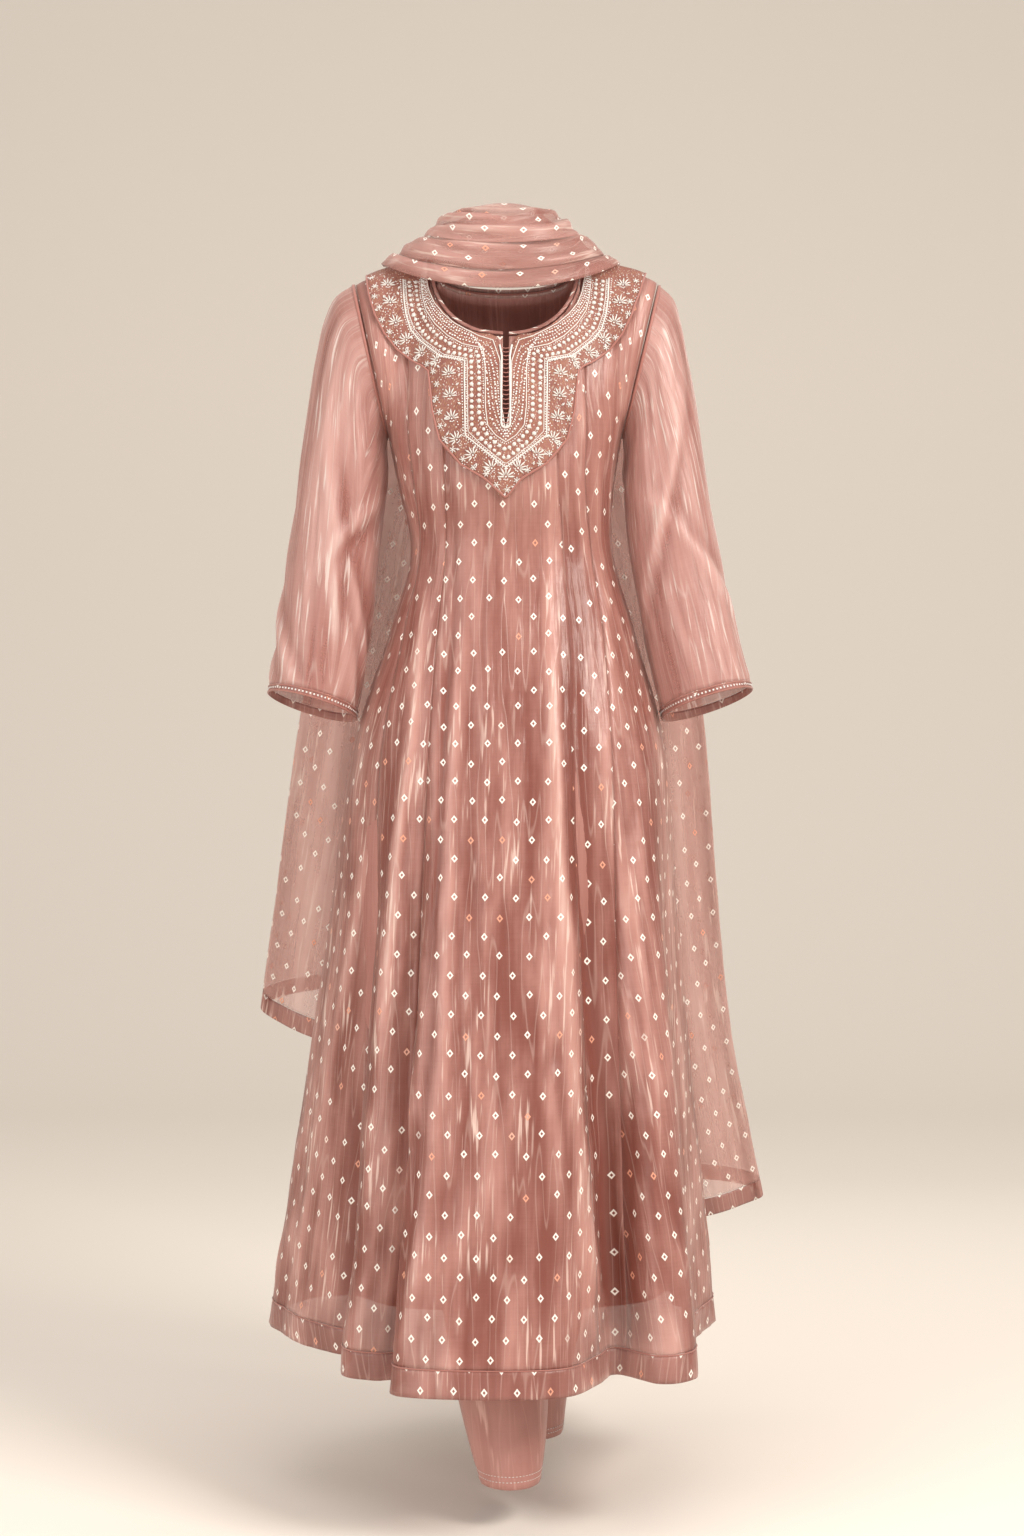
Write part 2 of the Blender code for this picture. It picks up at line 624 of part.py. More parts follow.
def lining_grids(front_side, places, grid, normals):
    """The slip's outer and inner points on one side of the body, and the columns where its gores meet."""
    turns = [local_angle(place, front_side) for place in places]
    corners = {c for c, turn in enumerate(turns) if abs(abs(turn) - NECK_ANGLE) < LINING_CORNER}
    chosen = sorted(set(range(0, len(places), 2)) | corners)
    grid, normals = grid[:, chosen], normals[:, chosen]
    turns = np.array([turns[c] for c in chosen])
    outer = []
    for r in range(ARMPIT_ROW + len(BODY_ROWS)):
        inset = np.full((len(chosen), 1), LINING_INSETS[min(r, ARMPIT_ROW)])
        if r < 2:
            inset[abs(turns) < NECK_ANGLE + LINING_CORNER] += LINING_NECK_INSET
        outer.append(grid[r] - (CLOTH + inset) * normals[r])
    angles = [hem_fold(places[c])[0] for c in chosen]
    for z in (LINING_KNEE_Z, LINING_HEM_Z):
        outer.append(lining_ring(angles, z))
    outer = np.array(outer)
    facing = normals_of(outer)
    below = ARMPIT_ROW + len(BODY_ROWS)
    facing[:below] = normals[:below]
    for column in (0, -1):
        sideways = np.sign(outer[below:, column, 0])
        facing[below:, column] = np.stack([sideways, 0 * sideways, 0 * sideways], axis=-1)
    seams = [int(np.argmin(abs(turns - turn))) for turn in (LINING_GORE_TURN, -LINING_GORE_TURN)]
    return outer, outer - CLOTH * facing, sorted(seams)


def lining_solids(grids, material):
    """The slip: three gores behind and four in front, whose middle seam is open above as the placket slit."""
    for front_side, (places, grid, normals) in grids.items():
        outer, inner, (first_seam, last_seam) = lining_grids(front_side, places, grid, normals)
        last = outer.shape[1] - 1
        if front_side:
            middle = int(np.argmin(abs(outer[0, :, 0] - NECK_X)))
            outer, inner = with_slit(outer, middle), with_slit(inner, middle)
            right, left = (0, first_seam), (last_seam + 1, last + 1)
            gores = {"front_r": right, "front_centre_r": (first_seam, middle),
                     "front_centre_l": (middle + 1, last_seam + 1), "front_l": left}
        else:
            gores = {"back_l": (0, first_seam),
                     "back_centre": (first_seam, last_seam),
                     "back_r": (last_seam, last)}
        trimmed = []
        for part in (outer, inner):
            part = drawn_in(part, by=SEAM)
            part[:ARMPIT_ROW] = drawn_in(part[:ARMPIT_ROW], by=LINING_ARMHOLE_INSET)
            trimmed.append(drawn_in(part, rows=True, by=NECK_CLEAR))
        for gore, (first, last) in gores.items():
            cut = [part[:, first : last + 1] for part in trimmed]
            if first > 0:
                cut = [side_moved(part, 0, SEAM / 2) for part in cut]
            if last < outer.shape[1] - 1:
                cut = [side_moved(part, -1, SEAM / 2) for part in cut]
            wall("lining_" + gore, *cut, material)


# ---- yoke and binding ----
YOKE = {  # points across the right half of the yoke: neckline turn or slit height, and outline x and z
    "columns": ("outline_x", "outline_z"),
    "shoulder": (-0.1700, -0.0080),
    "over": (-0.1665, -0.0370),
    "round_1": (-0.1590, -0.0640),
    "round_2": (-0.1475, -0.0860),
    "round_3": (-0.1320, -0.1040),
    "round_4": (-0.1140, -0.1180),
    "corner": (-0.0930, -0.1330),
    "waist": (-0.0905, -0.1560),
    "bib_1": (-0.0885, -0.1800),
    "bib_2": (-0.0800, -0.2140),
    "bib_3": (-0.0560, -0.2440),
    "bib_4": (-0.0280, -0.2620),
    "tip": (-0.0035, -0.2830),
}
YOKE_INNER = 8
YOKE_CENTRE = SLIT_X
YOKE_CLEAR = 0.0027
YOKE_SHOULDER_CLEAR = 0.0014
YOKE_FADE = 0.09
YOKE_FINE = 4
YOKE_ROWS = 6
YOKE_SLIT_EDGE = 0.0045
YOKE_SLIT_END = 0.001
YOKE_TIP_START = 0.004
YOKE_LEAN = 0.006
YOKE_LEAN_DEPTH = 0.05


def front_surface(grids):
    """The outer points of the whole front, for what lies on it."""
    grid = grids[True][1]
    rows, columns = grid.shape[:2]
    faces = [
        (r * columns + c, (r + 1) * columns + c, (r + 1) * columns + c + 1, r * columns + c + 1)
        for r in range(rows - 1) for c in range(columns - 1)
    ]
    return BVHTree.FromPolygons([tuple(p) for p in grid.reshape(-1, 3)], faces)


def yoke_outline():
    """Pairs of inner and outer points in front view, from the right shoulder round the tip to the left."""
    outline = rows_of(YOKE)
    half = []
    for i, outer in enumerate(outline):
        if i <= YOKE_INNER:
            turn = -90 * (1 - i / (YOKE_INNER + 0.55))
            inner = np.array(neck_point(turn, True, BINDING + NECK_CLEAR))
        else:
            share = (i - YOKE_INNER) / (len(outline) - 1 - YOKE_INNER)
            top = NECK_FRONT_Z - BINDING
            inner = np.array([YOKE_CENTRE - YOKE_SLIT_EDGE, top + (ARMPIT_Z + YOKE_SLIT_END - top) * share])
        half.append((inner, outer))
    half[-1] = (np.array([YOKE_CENTRE, ARMPIT_Z - YOKE_TIP_START]), outline[-1])
    for i in range(YOKE_FINE, 0, -1):
        half.insert(i, tuple((half[i - 1][k] + half[i][k]) / 2 for k in (0, 1)))
    other = []
    for inner, outer in reversed(half[:-1]):
        mirrored = [np.array([2 * YOKE_CENTRE - p[0], p[1]]) for p in (inner, outer)]
        mirrored[1][0] -= YOKE_LEAN * min(1.0, max(0.0, -mirrored[1][1]) / YOKE_LEAN_DEPTH)
        other.append(tuple(mirrored))
    return half + other


def yoke_solid(grids, material):
    surface = front_surface(grids)
    outer, inner = [], []
    for near, far in yoke_outline():
        line, facing = [], []
        for k in range(YOKE_ROWS):
            x, z = near + (far - near) * k / (YOKE_ROWS - 1)
            hit, normal = surface.ray_cast((x, -1.0, z), (0.0, 1.0, 0.0))[:2]
            if hit is None or hit[1] > 0:
                hit, normal = surface.find_nearest((x, -0.004, z))[:2]
            line.append(np.array(hit))
            facing.append(unit(np.array(normal) * (1 if normal[1] < 0 else -1)))
        outer.append(line)
        inner.append(facing)
    base = np.array(outer).swapaxes(0, 1)
    facing = normals_of(base)
    high = np.clip(1 + base[..., 2:] / YOKE_FADE, 0.0, 1.0)
    clear = YOKE_CLEAR + YOKE_SHOULDER_CLEAR * high
    wall("yoke", base + (clear + CLOTH) * facing, base + clear * facing, material)


def neck_angles(places, front_side):
    """Angles of the panel columns that end on the neckline, from right to left."""
    angles = [local_angle(place, front_side) for place in places]
    return sorted(angle for angle in angles if abs(angle) < NECK_ANGLE + NECK_SNAP)


def binding_solid(grids, material):
    """The neck's own binding, from one side of the slit round the back to the other."""
    front = neck_angles(grids[True][0], True)
    back = neck_angles(grids[False][0], False)
    middle = int(np.argmin([abs(bodice_point(a, 1.0, True)[0] - NECK_X) for a in front]))
    route = [(a, True) for a in front[middle:]] + [(a, False) for a in reversed(back[1:-1])]
    route += [(a, True) for a in front[: middle + 1]]
    edges = (0.0, BINDING - NECK_CLEAR)
    grid = np.array([[bodice_point(a, 1.0, f, grow) for a, f in route] for grow in edges])
    grid[:, 0, 0] = SLIT_X + SLIT_HALF
    grid[:, -1, 0] = SLIT_X - SLIT_HALF
    facing = normals_of(grid)
    wall("neck_binding", grid + BINDING_OUT * facing, grid - BINDING_IN * facing, material)


# ---- trousers ----
PELVIS_TABLE = rows_of(PELVIS)


def waist_point(angle, z):
    """A point of the waistband's outside, a little way inside the slip."""
    section = by_key(BODY_TABLE, z)[1:5] - WAIST_INSET
    return [*plan_point(section, angle), z]


def leg_point(out, face, share, row):
    """A point of one half of a trouser leg: share runs from the inner seam to the side seam."""
    z, x, y, half, depth = row
    turn = math.pi * share
    return np.array([x - out * half * math.cos(turn), y + face * depth * math.sin(turn), z])


def pelvis_point(out, face, share, row, leg_top):
    """A point of the upper part, which forks towards the top of the leg as it goes down."""
    z, half, front_depth, back_depth, fork = row
    depth = front_depth if face < 0 else back_depth
    turn = math.pi / 2 * share
    whole = np.array([out * (half * math.sin(turn) + CENTRE_GAP), face * depth * math.cos(turn), z])
    point = whole + (leg_point(out, face, share, leg_top) - whole) * fork
    point[2] = z
    return point


def trouser_solids(material):
    shares = np.arange(LEG_COLUMNS + 1) / LEG_COLUMNS
    for side, out in (("r", -1), ("l", 1)):
        legs = LEGS[side]
        for name, face in (("trouser_front_", -1), ("trouser_back_", 1)):
            angles = [out * 90 * s if face < 0 else out * (180 - 90 * s) for s in shares]
            grid = [[waist_point(angle, WAISTBAND_BOTTOM) for angle in angles]]
            grid += [[pelvis_point(out, face, s, row, legs[0]) for s in shares] for row in PELVIS_TABLE]
            grid += [[leg_point(out, face, s, row) for s in shares] for row in legs]
            grid = np.array(grid)
            grid[0, 0, 0] = out * CENTRE_GAP
            if out == face:
                grid = grid[:, ::-1]
            facing = normals_of(grid)
            below = 1 + len(PELVIS_TABLE)
            for column in (0, -1):
                centre = grid[below:, column, 0] - np.array([row[1] for row in legs])
                facing[below:, column] = np.stack([np.sign(centre), 0 * centre, 0 * centre], axis=-1)
                at_middle = abs(grid[0, column, 0]) < 0.01
                facing[:below, column, 0 if at_middle else 1] = 0
            facing = unit(facing)
            inner = grid - CLOTH * facing
            wall(name + side, *(drawn_in(drawn_in(part), rows=True) for part in (grid, inner)), material)


def waistband_solid(material):
    angles = 360 * np.arange(4 * LEG_COLUMNS) / (4 * LEG_COLUMNS)
    rings = [[waist_point(angle, z) for angle in angles] for z in (WAISTBAND_TOP, WAISTBAND_BOTTOM + SEAM)]
    rings = np.array(rings)
    facing = normals_of(rings, closed=True)
    wall("waistband", rings, rings - DOUBLED * facing, material, closed=True)


# ---- dupatta ----
COWL_TABLE = rows_of(COWL)


def cowl_point(angle, height):
    """A point of the scarf's form round the neck: angle 0 in front, 90 at +X, height 0 at the top edge."""
    row = smooth(COWL_TABLE, row_at(np.array(COWL_HEIGHTS), height))
    right, left, front, back, side_z, front_z, back_z = row
    s, c = math.sin(math.radians(angle)), math.cos(math.radians(angle))
    x = NECK_X + (left if s > 0 else right) * s
    y = COWL_Y - (front if c > 0 else back) * c
    share = abs(c) ** 1.5
    z = side_z + ((front_z if c > 0 else back_z) - side_z) * share
    return np.array([x, y, z])


def cowl_normal(angle, height):
    step = 0.02
    low, high = max(0.0, height - step), min(1.0, height + step)
    down = cowl_point(angle, high) - cowl_point(angle, low)
    along = cowl_point(angle + 2, height) - cowl_point(angle - 2, height)
    return unit(np.cross(along, -down))


def wrap_solid(name, material):
    top, bottom, bulge, ripples, ripple, drift, rows = WRAPS[name]
    angles = np.linspace(-COWL_END, COWL_END, WRAP_COLUMNS)
    grid = []
    for r in range(rows):
        share = r / (rows - 1)
        line = []
        for angle in angles:
            height = top + (bottom - top) * share
            tuck = min(1.0, share / 0.35)
            lift = TUCK * (tuck - 1) + bulge * math.sin(math.pi * min(1.0, share * 0.9))
            phase = 2 * math.pi * (ripples * share + drift * angle / 200)
            edge = math.sin(math.pi * share)
            lift += ripple * edge * math.sin(phase)
            line.append(cowl_point(angle, height) + lift * cowl_normal(angle, height))
        grid.append(line)
    grid = np.array(grid)
    facing = normals_of(grid)
    wall(name, *(drawn_in(part) for part in (grid, grid - CLOTH * facing)), material)


def nape_solid(material):
    angles = np.linspace(COWL_END + 0.3, 360 - COWL_END - 0.3, NAPE_COLUMNS)
    grid = []
    for r in range(NAPE_ROWS):
        share = r / (NAPE_ROWS - 1)
        line = []
        for angle in angles:
            phase = 2 * math.pi * (NAPE_RIPPLES * share + NAPE_DRIFT * angle / 180)
            lift = NAPE_LIFT * (1 + math.sin(phase))
            line.append(cowl_point(angle, share) + lift * cowl_normal(angle, share))
        grid.append(line)
    grid = np.array(grid)
    facing = normals_of(grid)
    wall("dupatta_nape", *(drawn_in(part) for part in (grid, grid - CLOTH * facing)), material)


def end_point(side, place, share):
    """A point of a hanging end: the front layer is share 0 to 0.5, then come the outer fold and back layer."""
    z, inner, outer, y, gap, front_drop, back_rise, ripple = smooth(ENDS[side], place)
    across = 1 - abs(2 * share - 1)
    x = inner + (outer - inner) * math.sin(math.pi / 2 * across) ** 0.9
    layer = -1 if share < 0.5 else 1
    apart = min(1.0, 2.6 * (1 - across)) ** 0.5
    phase = 2 * math.pi * (1.6 * across + 0.25 * layer * (1 - across)) + 0.6
    wave = ripple * (1 - across**4) * math.sin(phase)
    inward = (1 - across) ** 1.2
    drop = -front_drop * inward if share < 0.5 else back_rise * inward
    return np.array([x, y + layer * gap / 2 * apart + wave, z + drop])


def end_solids(side, cloth, trim):
    rows = ENDS[side]
    last = len(rows) - 1
    length = abs(rows[-1][0] - rows[-2][0])
    top_of_band = last - END_BAND / length
    shares = np.linspace(0, 1, 2 * END_COLUMNS + 1)
    if side == "l":
        shares = shares[::-1]
    places = (*range(last), top_of_band, last)
    grid = np.array([[end_point(side, p, s) for s in shares] for p in places])[:, ::-1]
    facing = normals_of(grid)
    inner = grid - CLOTH * facing
    main = (drawn_in(part[:-1], rows=True) for part in (grid, inner))
    wall("dupatta_end_" + side, *main, cloth)
    hem_walls = (grid[-2:], grid[-2:] - END_DOUBLED * facing[-2:])
    hem = (drawn_in(part, rows=True, by=2 * SEAM) for part in hem_walls)
    wall("dupatta_band_" + side, *hem, trim)


def main():
    clear_scene()
    organza = make_material("rose_organza", ROSE, 0.45)
    border = make_material("doubled_border", DEEP_ROSE, 0.5)
    slip = make_material("slip_satin", DEEP_ROSE, 0.6)
    beads = make_material("beaded_yoke", IVORY, 0.35)
    plain = make_material("trouser_silk", ROSE, 0.55)
    scarf = make_material("dupatta_organza", ROSE, 0.45)
    grids = kameez_grids()
    panel_solids(grids, organza)
    hem_bands(border)
    for side in ("r", "l"):
        sleeve_solids(side, organza, border)
    lining_solids(grids, slip)
    yoke_solid(grids, beads)
    binding_solid(grids, border)
    trouser_solids(plain)
    waistband_solid(plain)
    for name in list(WRAPS)[1:]:
        wrap_solid(name, scarf)
    nape_solid(scarf)
    for side in ("r", "l"):
        end_solids(side, scarf, border)


main()
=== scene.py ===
# %% [markdown]
# # A salwar kameez suit in rose organza
# The set is a long flared kameez with a bead-embroidered yoke, the satin slip under it, narrow trousers
# and a scarf, the dupatta, wound once round the neck with both ends hanging behind. It stands in its worn
# form.
#
# Every garment is thin cloth, so each piece below is one sheet laid on the form of its own CAD solid,
# with soft creases moved into it and then a small thickness. First comes the frame.

# %% Frame
import math

import bmesh
import bpy
import numpy as np
from mathutils import Matrix, Vector
from mathutils.bvhtree import BVHTree


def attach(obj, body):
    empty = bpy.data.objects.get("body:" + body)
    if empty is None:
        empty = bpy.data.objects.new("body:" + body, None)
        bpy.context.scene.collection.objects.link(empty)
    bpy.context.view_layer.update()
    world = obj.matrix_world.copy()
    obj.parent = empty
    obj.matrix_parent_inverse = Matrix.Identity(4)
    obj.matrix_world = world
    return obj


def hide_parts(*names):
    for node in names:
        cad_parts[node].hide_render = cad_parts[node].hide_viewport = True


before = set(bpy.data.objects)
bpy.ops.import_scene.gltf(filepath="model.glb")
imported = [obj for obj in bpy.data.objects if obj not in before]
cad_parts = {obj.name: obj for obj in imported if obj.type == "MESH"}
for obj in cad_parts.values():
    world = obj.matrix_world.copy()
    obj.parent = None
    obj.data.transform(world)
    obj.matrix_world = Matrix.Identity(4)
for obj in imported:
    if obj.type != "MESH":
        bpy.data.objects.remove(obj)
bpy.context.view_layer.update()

# %% [markdown]
# ## Colours and nodes
# Colours are written as sRGB hex values, as a colour chart gives them, but Blender works in linear light,
# so one function converts them. A second adds a shader node with its settings and links, and a third
# starts a material. Materials could be built by hand in the editor and appended, but in code their sizes
# in millimetres stay in view.

# %% Colours and nodes
scene = bpy.context.scene


def srgb(code):
    """A hex colour as linear red, green, blue and alpha."""
    parts = [int(code[i : i + 2], 16) / 255 for i in (1, 3, 5)]
    linear = [p / 12.92 if p <= 0.04045 else ((p + 0.055) / 1.055) ** 2.4 for p in parts]
    return (*linear, 1.0)


def add_node(tree, kind, inputs=None, **settings):
    """Adds a node with its settings and links.

    An input is a value, the socket that feeds it, or a node, which feeds it from its first output.
    """
    node = tree.nodes.new(kind)
    for name, value in settings.items():
        setattr(node, name, value)
    for name, value in (inputs or {}).items():
        value = value.outputs[0] if isinstance(value, bpy.types.Node) else value
        if isinstance(value, bpy.types.NodeSocket):
            tree.links.new(value, node.inputs[name])
        else:
            node.inputs[name].default_value = value
    return node


def set_inputs(node, values):
    """Sets a node's inputs to plain values."""
    for name, value in values.items():
        node.inputs[name].default_value = value


def new_material(name):
    """An empty node material and its principled shader, joined to the output."""
    material = bpy.data.materials.new(name)
    material.use_nodes = True
    tree = material.node_tree
    tree.nodes.clear()
    shader = add_node(tree, "ShaderNodeBsdfPrincipled")
    output = add_node(tree, "ShaderNodeOutputMaterial")
    tree.links.new(shader.outputs["BSDF"], output.inputs["Surface"])
    return material, tree, shader


print("sRGB #808080 is", round(srgb("#808080")[0], 3), "in linear light")

# %% [markdown]
# ## Camera and lights
# A garment of this height is best seen from chest height through a longish lens, so that the upright
# folds stay upright. One large soft light from the upper right models the folds, a weaker one fills the
# left side, a wide one overhead lifts the shoulders, and a small one behind gives the sheer edges a rim.
# Small hard lamps would show every crinkle twice, once lit and once as a shadow.

# %% Camera and lights
CAMERA_PLACE = (0.0036, -3.0, -0.5952)
CAMERA_LENS = 58.6  # mm

camera_data = bpy.data.cameras.new("camera")
camera_data.sensor_width = 36.0
camera_data.lens = CAMERA_LENS
camera = bpy.data.objects.new("camera", camera_data)
camera.location = CAMERA_PLACE
camera.rotation_euler = (math.pi / 2, 0, 0)
scene.collection.objects.link(camera)
scene.camera = camera


def area_light(name, place, target, size, power, colour):
    """A soft square light that looks at a point."""
    data = bpy.data.lights.new(name, "AREA")
    data.size = size
    data.energy = power
    data.color = srgb(colour)[:3]
    light = bpy.data.objects.new(name, data)
    light.location = place
    light.rotation_euler = (Vector(target) - Vector(place)).to_track_quat("-Z", "Y").to_euler()
    scene.collection.objects.link(light)


area_light("key_light", (2.2, -2.0, 1.4), (0, 0, -0.6), 1.3, 104, "#FFF8F0")
area_light("fill_light", (-2.4, -2.2, 0.4), (0, 0, -0.7), 2.4, 52, "#FFF8F2")
area_light("top_light", (0, -0.6, 2.6), (0, -0.2, 0), 3.0, 30, "#FFF8F2")
area_light("rim_light", (0.9, 2.2, 0.4), (0.9, 0, 0.4), 1.2, 7, "#FFF8F0")

world = bpy.data.worlds.new("studio_air")
world.use_nodes = True
set_inputs(world.node_tree.nodes["Background"], {"Color": srgb("#F2ECE6"), "Strength": 0.55})
scene.world = world
scene.view_settings.view_transform = "Standard"
lamps = [item.name for item in scene.objects if item.type == "LIGHT"]
print("camera at", CAMERA_PLACE, "with a", CAMERA_LENS, "mm lens; lights:", ", ".join(lamps))

# %% [markdown]
# ## Floor and wall
# The floor and the wall are one pale warm surface with a round bend between them, as a studio's painted
# sweep is, so no line shows where they meet. Two planes and a bevel on the edge between them make it. A
# very slow noise between two close tints keeps the paint from looking like a flat fill.

# %% Floor and wall
FLOOR_Z = -1.452
stage_material, stage_tree, stage_shader = new_material("painted studio sweep")
grain = add_node(stage_tree, "ShaderNodeTexNoise", {"Scale": 1.4, "Detail": 2.0})
tint = add_node(stage_tree, "ShaderNodeMix", {"Factor": grain.outputs["Fac"]}, data_type="RGBA")
set_inputs(tint, {"A": srgb("#FAF4EB"), "B": srgb("#F6EEE5")})
stage_tree.links.new(tint.outputs["Result"], stage_shader.inputs["Base Color"])
set_inputs(stage_shader, {"Roughness": 0.85})

WALL_Y = 5.4  # the wall's place behind the garment, in metres
WALL_HEIGHT = 6.0
BEND = 2.2  # radius of the bend between the floor and the wall
SWEEP_HALF = 5.8  # half the floor's side


def in_corner(vert):
    """Whether a point is where the floor meets the wall."""
    return abs(vert.co.y - WALL_Y) < 1e-4 and abs(vert.co.z - FLOOR_Z) < 1e-4


sweep = bmesh.new()
middle = Matrix.Translation((0, WALL_Y - SWEEP_HALF, FLOOR_Z))
bmesh.ops.create_grid(sweep, x_segments=1, y_segments=1, size=SWEEP_HALF, matrix=middle)
far_edge = max(sweep.edges, key=lambda e: min(v.co.y for v in e.verts))
risen = bmesh.ops.extrude_edge_only(sweep, edges=[far_edge])
for vert in (g for g in risen["geom"] if isinstance(g, bmesh.types.BMVert)):
    vert.co.z += WALL_HEIGHT
corner = [edge for edge in sweep.edges if all(in_corner(vert) for vert in edge.verts)]
bmesh.ops.bevel(sweep, geom=corner, offset=BEND, segments=24, profile=0.5, affect="EDGES", material=-1)
sweep_mesh = bpy.data.meshes.new("studio_sweep")
sweep.to_mesh(sweep_mesh)
sweep.free()
sweep_mesh.materials.append(stage_material)
sweep_mesh.shade_smooth()
studio = bpy.data.objects.new("studio_sweep", sweep_mesh)
scene.collection.objects.link(studio)
print("the wall stands", WALL_Y, "m behind the garment")

# %% [markdown]
# ## Reading the form of a sheet from its solid
# A CAD wall is a grid of points outside, the same grid inside, and a narrow rim. The garment's shape is
# in the outer grid, so that is what the cloth needs. It could be modelled again by eye, or
# shrink-wrapped, but both lose the fit at the seams. Here the rim is told by its short edges, and without
# it the wall falls into two skins.

# %% The two skins of a wall
def skins_of(name):
    """The two skins of a CAD wall: merged points and, for each skin, its triangles."""
    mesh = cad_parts[name].data
    mesh.calc_loop_triangles()
    points = np.empty(3 * len(mesh.vertices))
    mesh.vertices.foreach_get("co", points)
    faces = np.empty(3 * len(mesh.loop_triangles), np.int64)
    mesh.loop_triangles.foreach_get("vertices", faces)
    points, faces = points.reshape(-1, 3), faces.reshape(-1, 3)
    first, index = np.unique(np.round(points, 6), axis=0, return_index=True, return_inverse=True)[1:]
    points, faces = points[first], index.reshape(-1)[faces]
    sides = [np.linalg.norm(points[faces[:, k]] - points[faces[:, k - 1]], axis=1) for k in range(3)]
    shortest = np.min(sides, axis=0)
    rim_edge = np.median(np.sort(shortest)[: len(faces) // 12])  # the usual edge of the narrowest faces
    faces = faces[shortest >= 1.25 * rim_edge]
    group = np.arange(len(points))
    while True:
        low = group[faces].min(axis=1)
        before = group.copy()
        for k in range(3):
            np.minimum.at(group, faces[:, k], low)
        if (group == before).all():
            break
    roots = np.unique(group[faces[:, 0]])
    return points, [faces[group[faces[:, 0]] == root] for root in roots]


print("front_centre has skins of", [len(faces) for faces in skins_of("front_centre")[1]], "triangles")

# %% [markdown]
# ## Numbering a skin
# A skin is only a heap of triangles, but in an evenly split grid the point across an edge is always the
# sum of the edge's two ends less the point behind it. So each triangle gives its neighbours their grid
# places. Sorting the points by height and angle would be shorter, but it fails where the cloth folds back
# on itself. A closed ring meets itself again at other numbers, and that difference is the number of its
# columns.

# %% Numbering a skin
def numbered(faces):
    """Grid places of a skin's points, and how many columns a ring has (0 for an open skin)."""
    beside = {}
    for face in faces:
        for k in range(3):
            beside.setdefault(frozenset((face[k], face[k - 1])), []).append(tuple(face))
    place = dict(zip((int(v) for v in faces[0]), ((0, 0), (1, 0), (0, 1))))
    waiting, seen, ring = [tuple(faces[0])], {tuple(faces[0])}, []
    while waiting:
        face = waiting.pop(0)
        for k in range(3):
            ends = (face[k], face[k - 1])
            behind = face[(k + 1) % 3]
            for other in beside[frozenset(ends)]:
                new = next(v for v in other if v not in ends)
                if other == face:
                    continue
                found = tuple(place[ends[0]][i] + place[ends[1]][i] - place[behind][i] for i in (0, 1))
                if new not in place:
                    place[new] = found
                elif place[new] != found:
                    ring.append((found[0] - place[new][0], found[1] - place[new][1]))
                    continue
                if other not in seen:
                    seen.add(other)
                    waiting.append(other)
    edge_ways = []
    for edge, owners in beside.items():
        if len(owners) == 1:
            a, b = (place[v] for v in edge)
            step = (b[0] - a[0], b[1] - a[1])
            if max(abs(step[0]), abs(step[1])) == 1:
                edge_ways.append(step if step > (0, 0) else (-step[0], -step[1]))
    return place, edge_ways, ring


print("front_centre has", len(numbered(skins_of("front_centre")[1][0])[0]), "grid points on a skin")

# %% [markdown]
# ## Lines through the hollows
# Each garment hangs round a part of the body: the trunk, an arm or a leg. A bent line through that hollow
# is enough to tell outside from inside.

# %% Lines through the hollows
def line_inside(*ends):
    """A function that gives, for points, the nearest height's point on a line through a hollow."""
    ends = np.array(sorted(ends, key=lambda p: p[2]), float)

    def inside(points):
        height = points[:, 2]
        return np.stack([*(np.interp(height, ends[:, 2], ends[:, k]) for k in (0, 1)), height], axis=1)

    return inside


BODY_LINE = line_inside((0, 0, 0.1), (0, 0, -1.3))
SLEEVE_LINE = {
    "r": line_inside((-0.16, 0, -0.03), (-0.19, 0, -0.2), (-0.21, -0.01, -0.38), (-0.232, -0.035, -0.53)),
    "l": line_inside((0.15, 0, -0.03), (0.18, 0, -0.2), (0.205, -0.01, -0.38), (0.233, -0.035, -0.53)),
}
LEG_LINE = {
    "r": line_inside((-0.07, 0, -0.4), (-0.083, 0, -0.72), (-0.043, -0.075, -1.08), (0.001, -0.15, -1.41)),
    "l": line_inside((0.07, 0, -0.4), (0.083, 0, -0.72), (0.06, 0.04, -1.08), (0.0275, 0.076, -1.41)),
}
print("the body's line at the waist:", BODY_LINE(np.array([[0, 0, -0.38]]))[0])

# %% [markdown]
# ## The outer grid
# The outer skin is the one that faces away from a line through the hollow. Its numbers may run slantwise
# or backwards, so they are turned until the rows go down the garment and the columns go from left to
# right as seen from outside. A closed ring gets its first column again at its end.

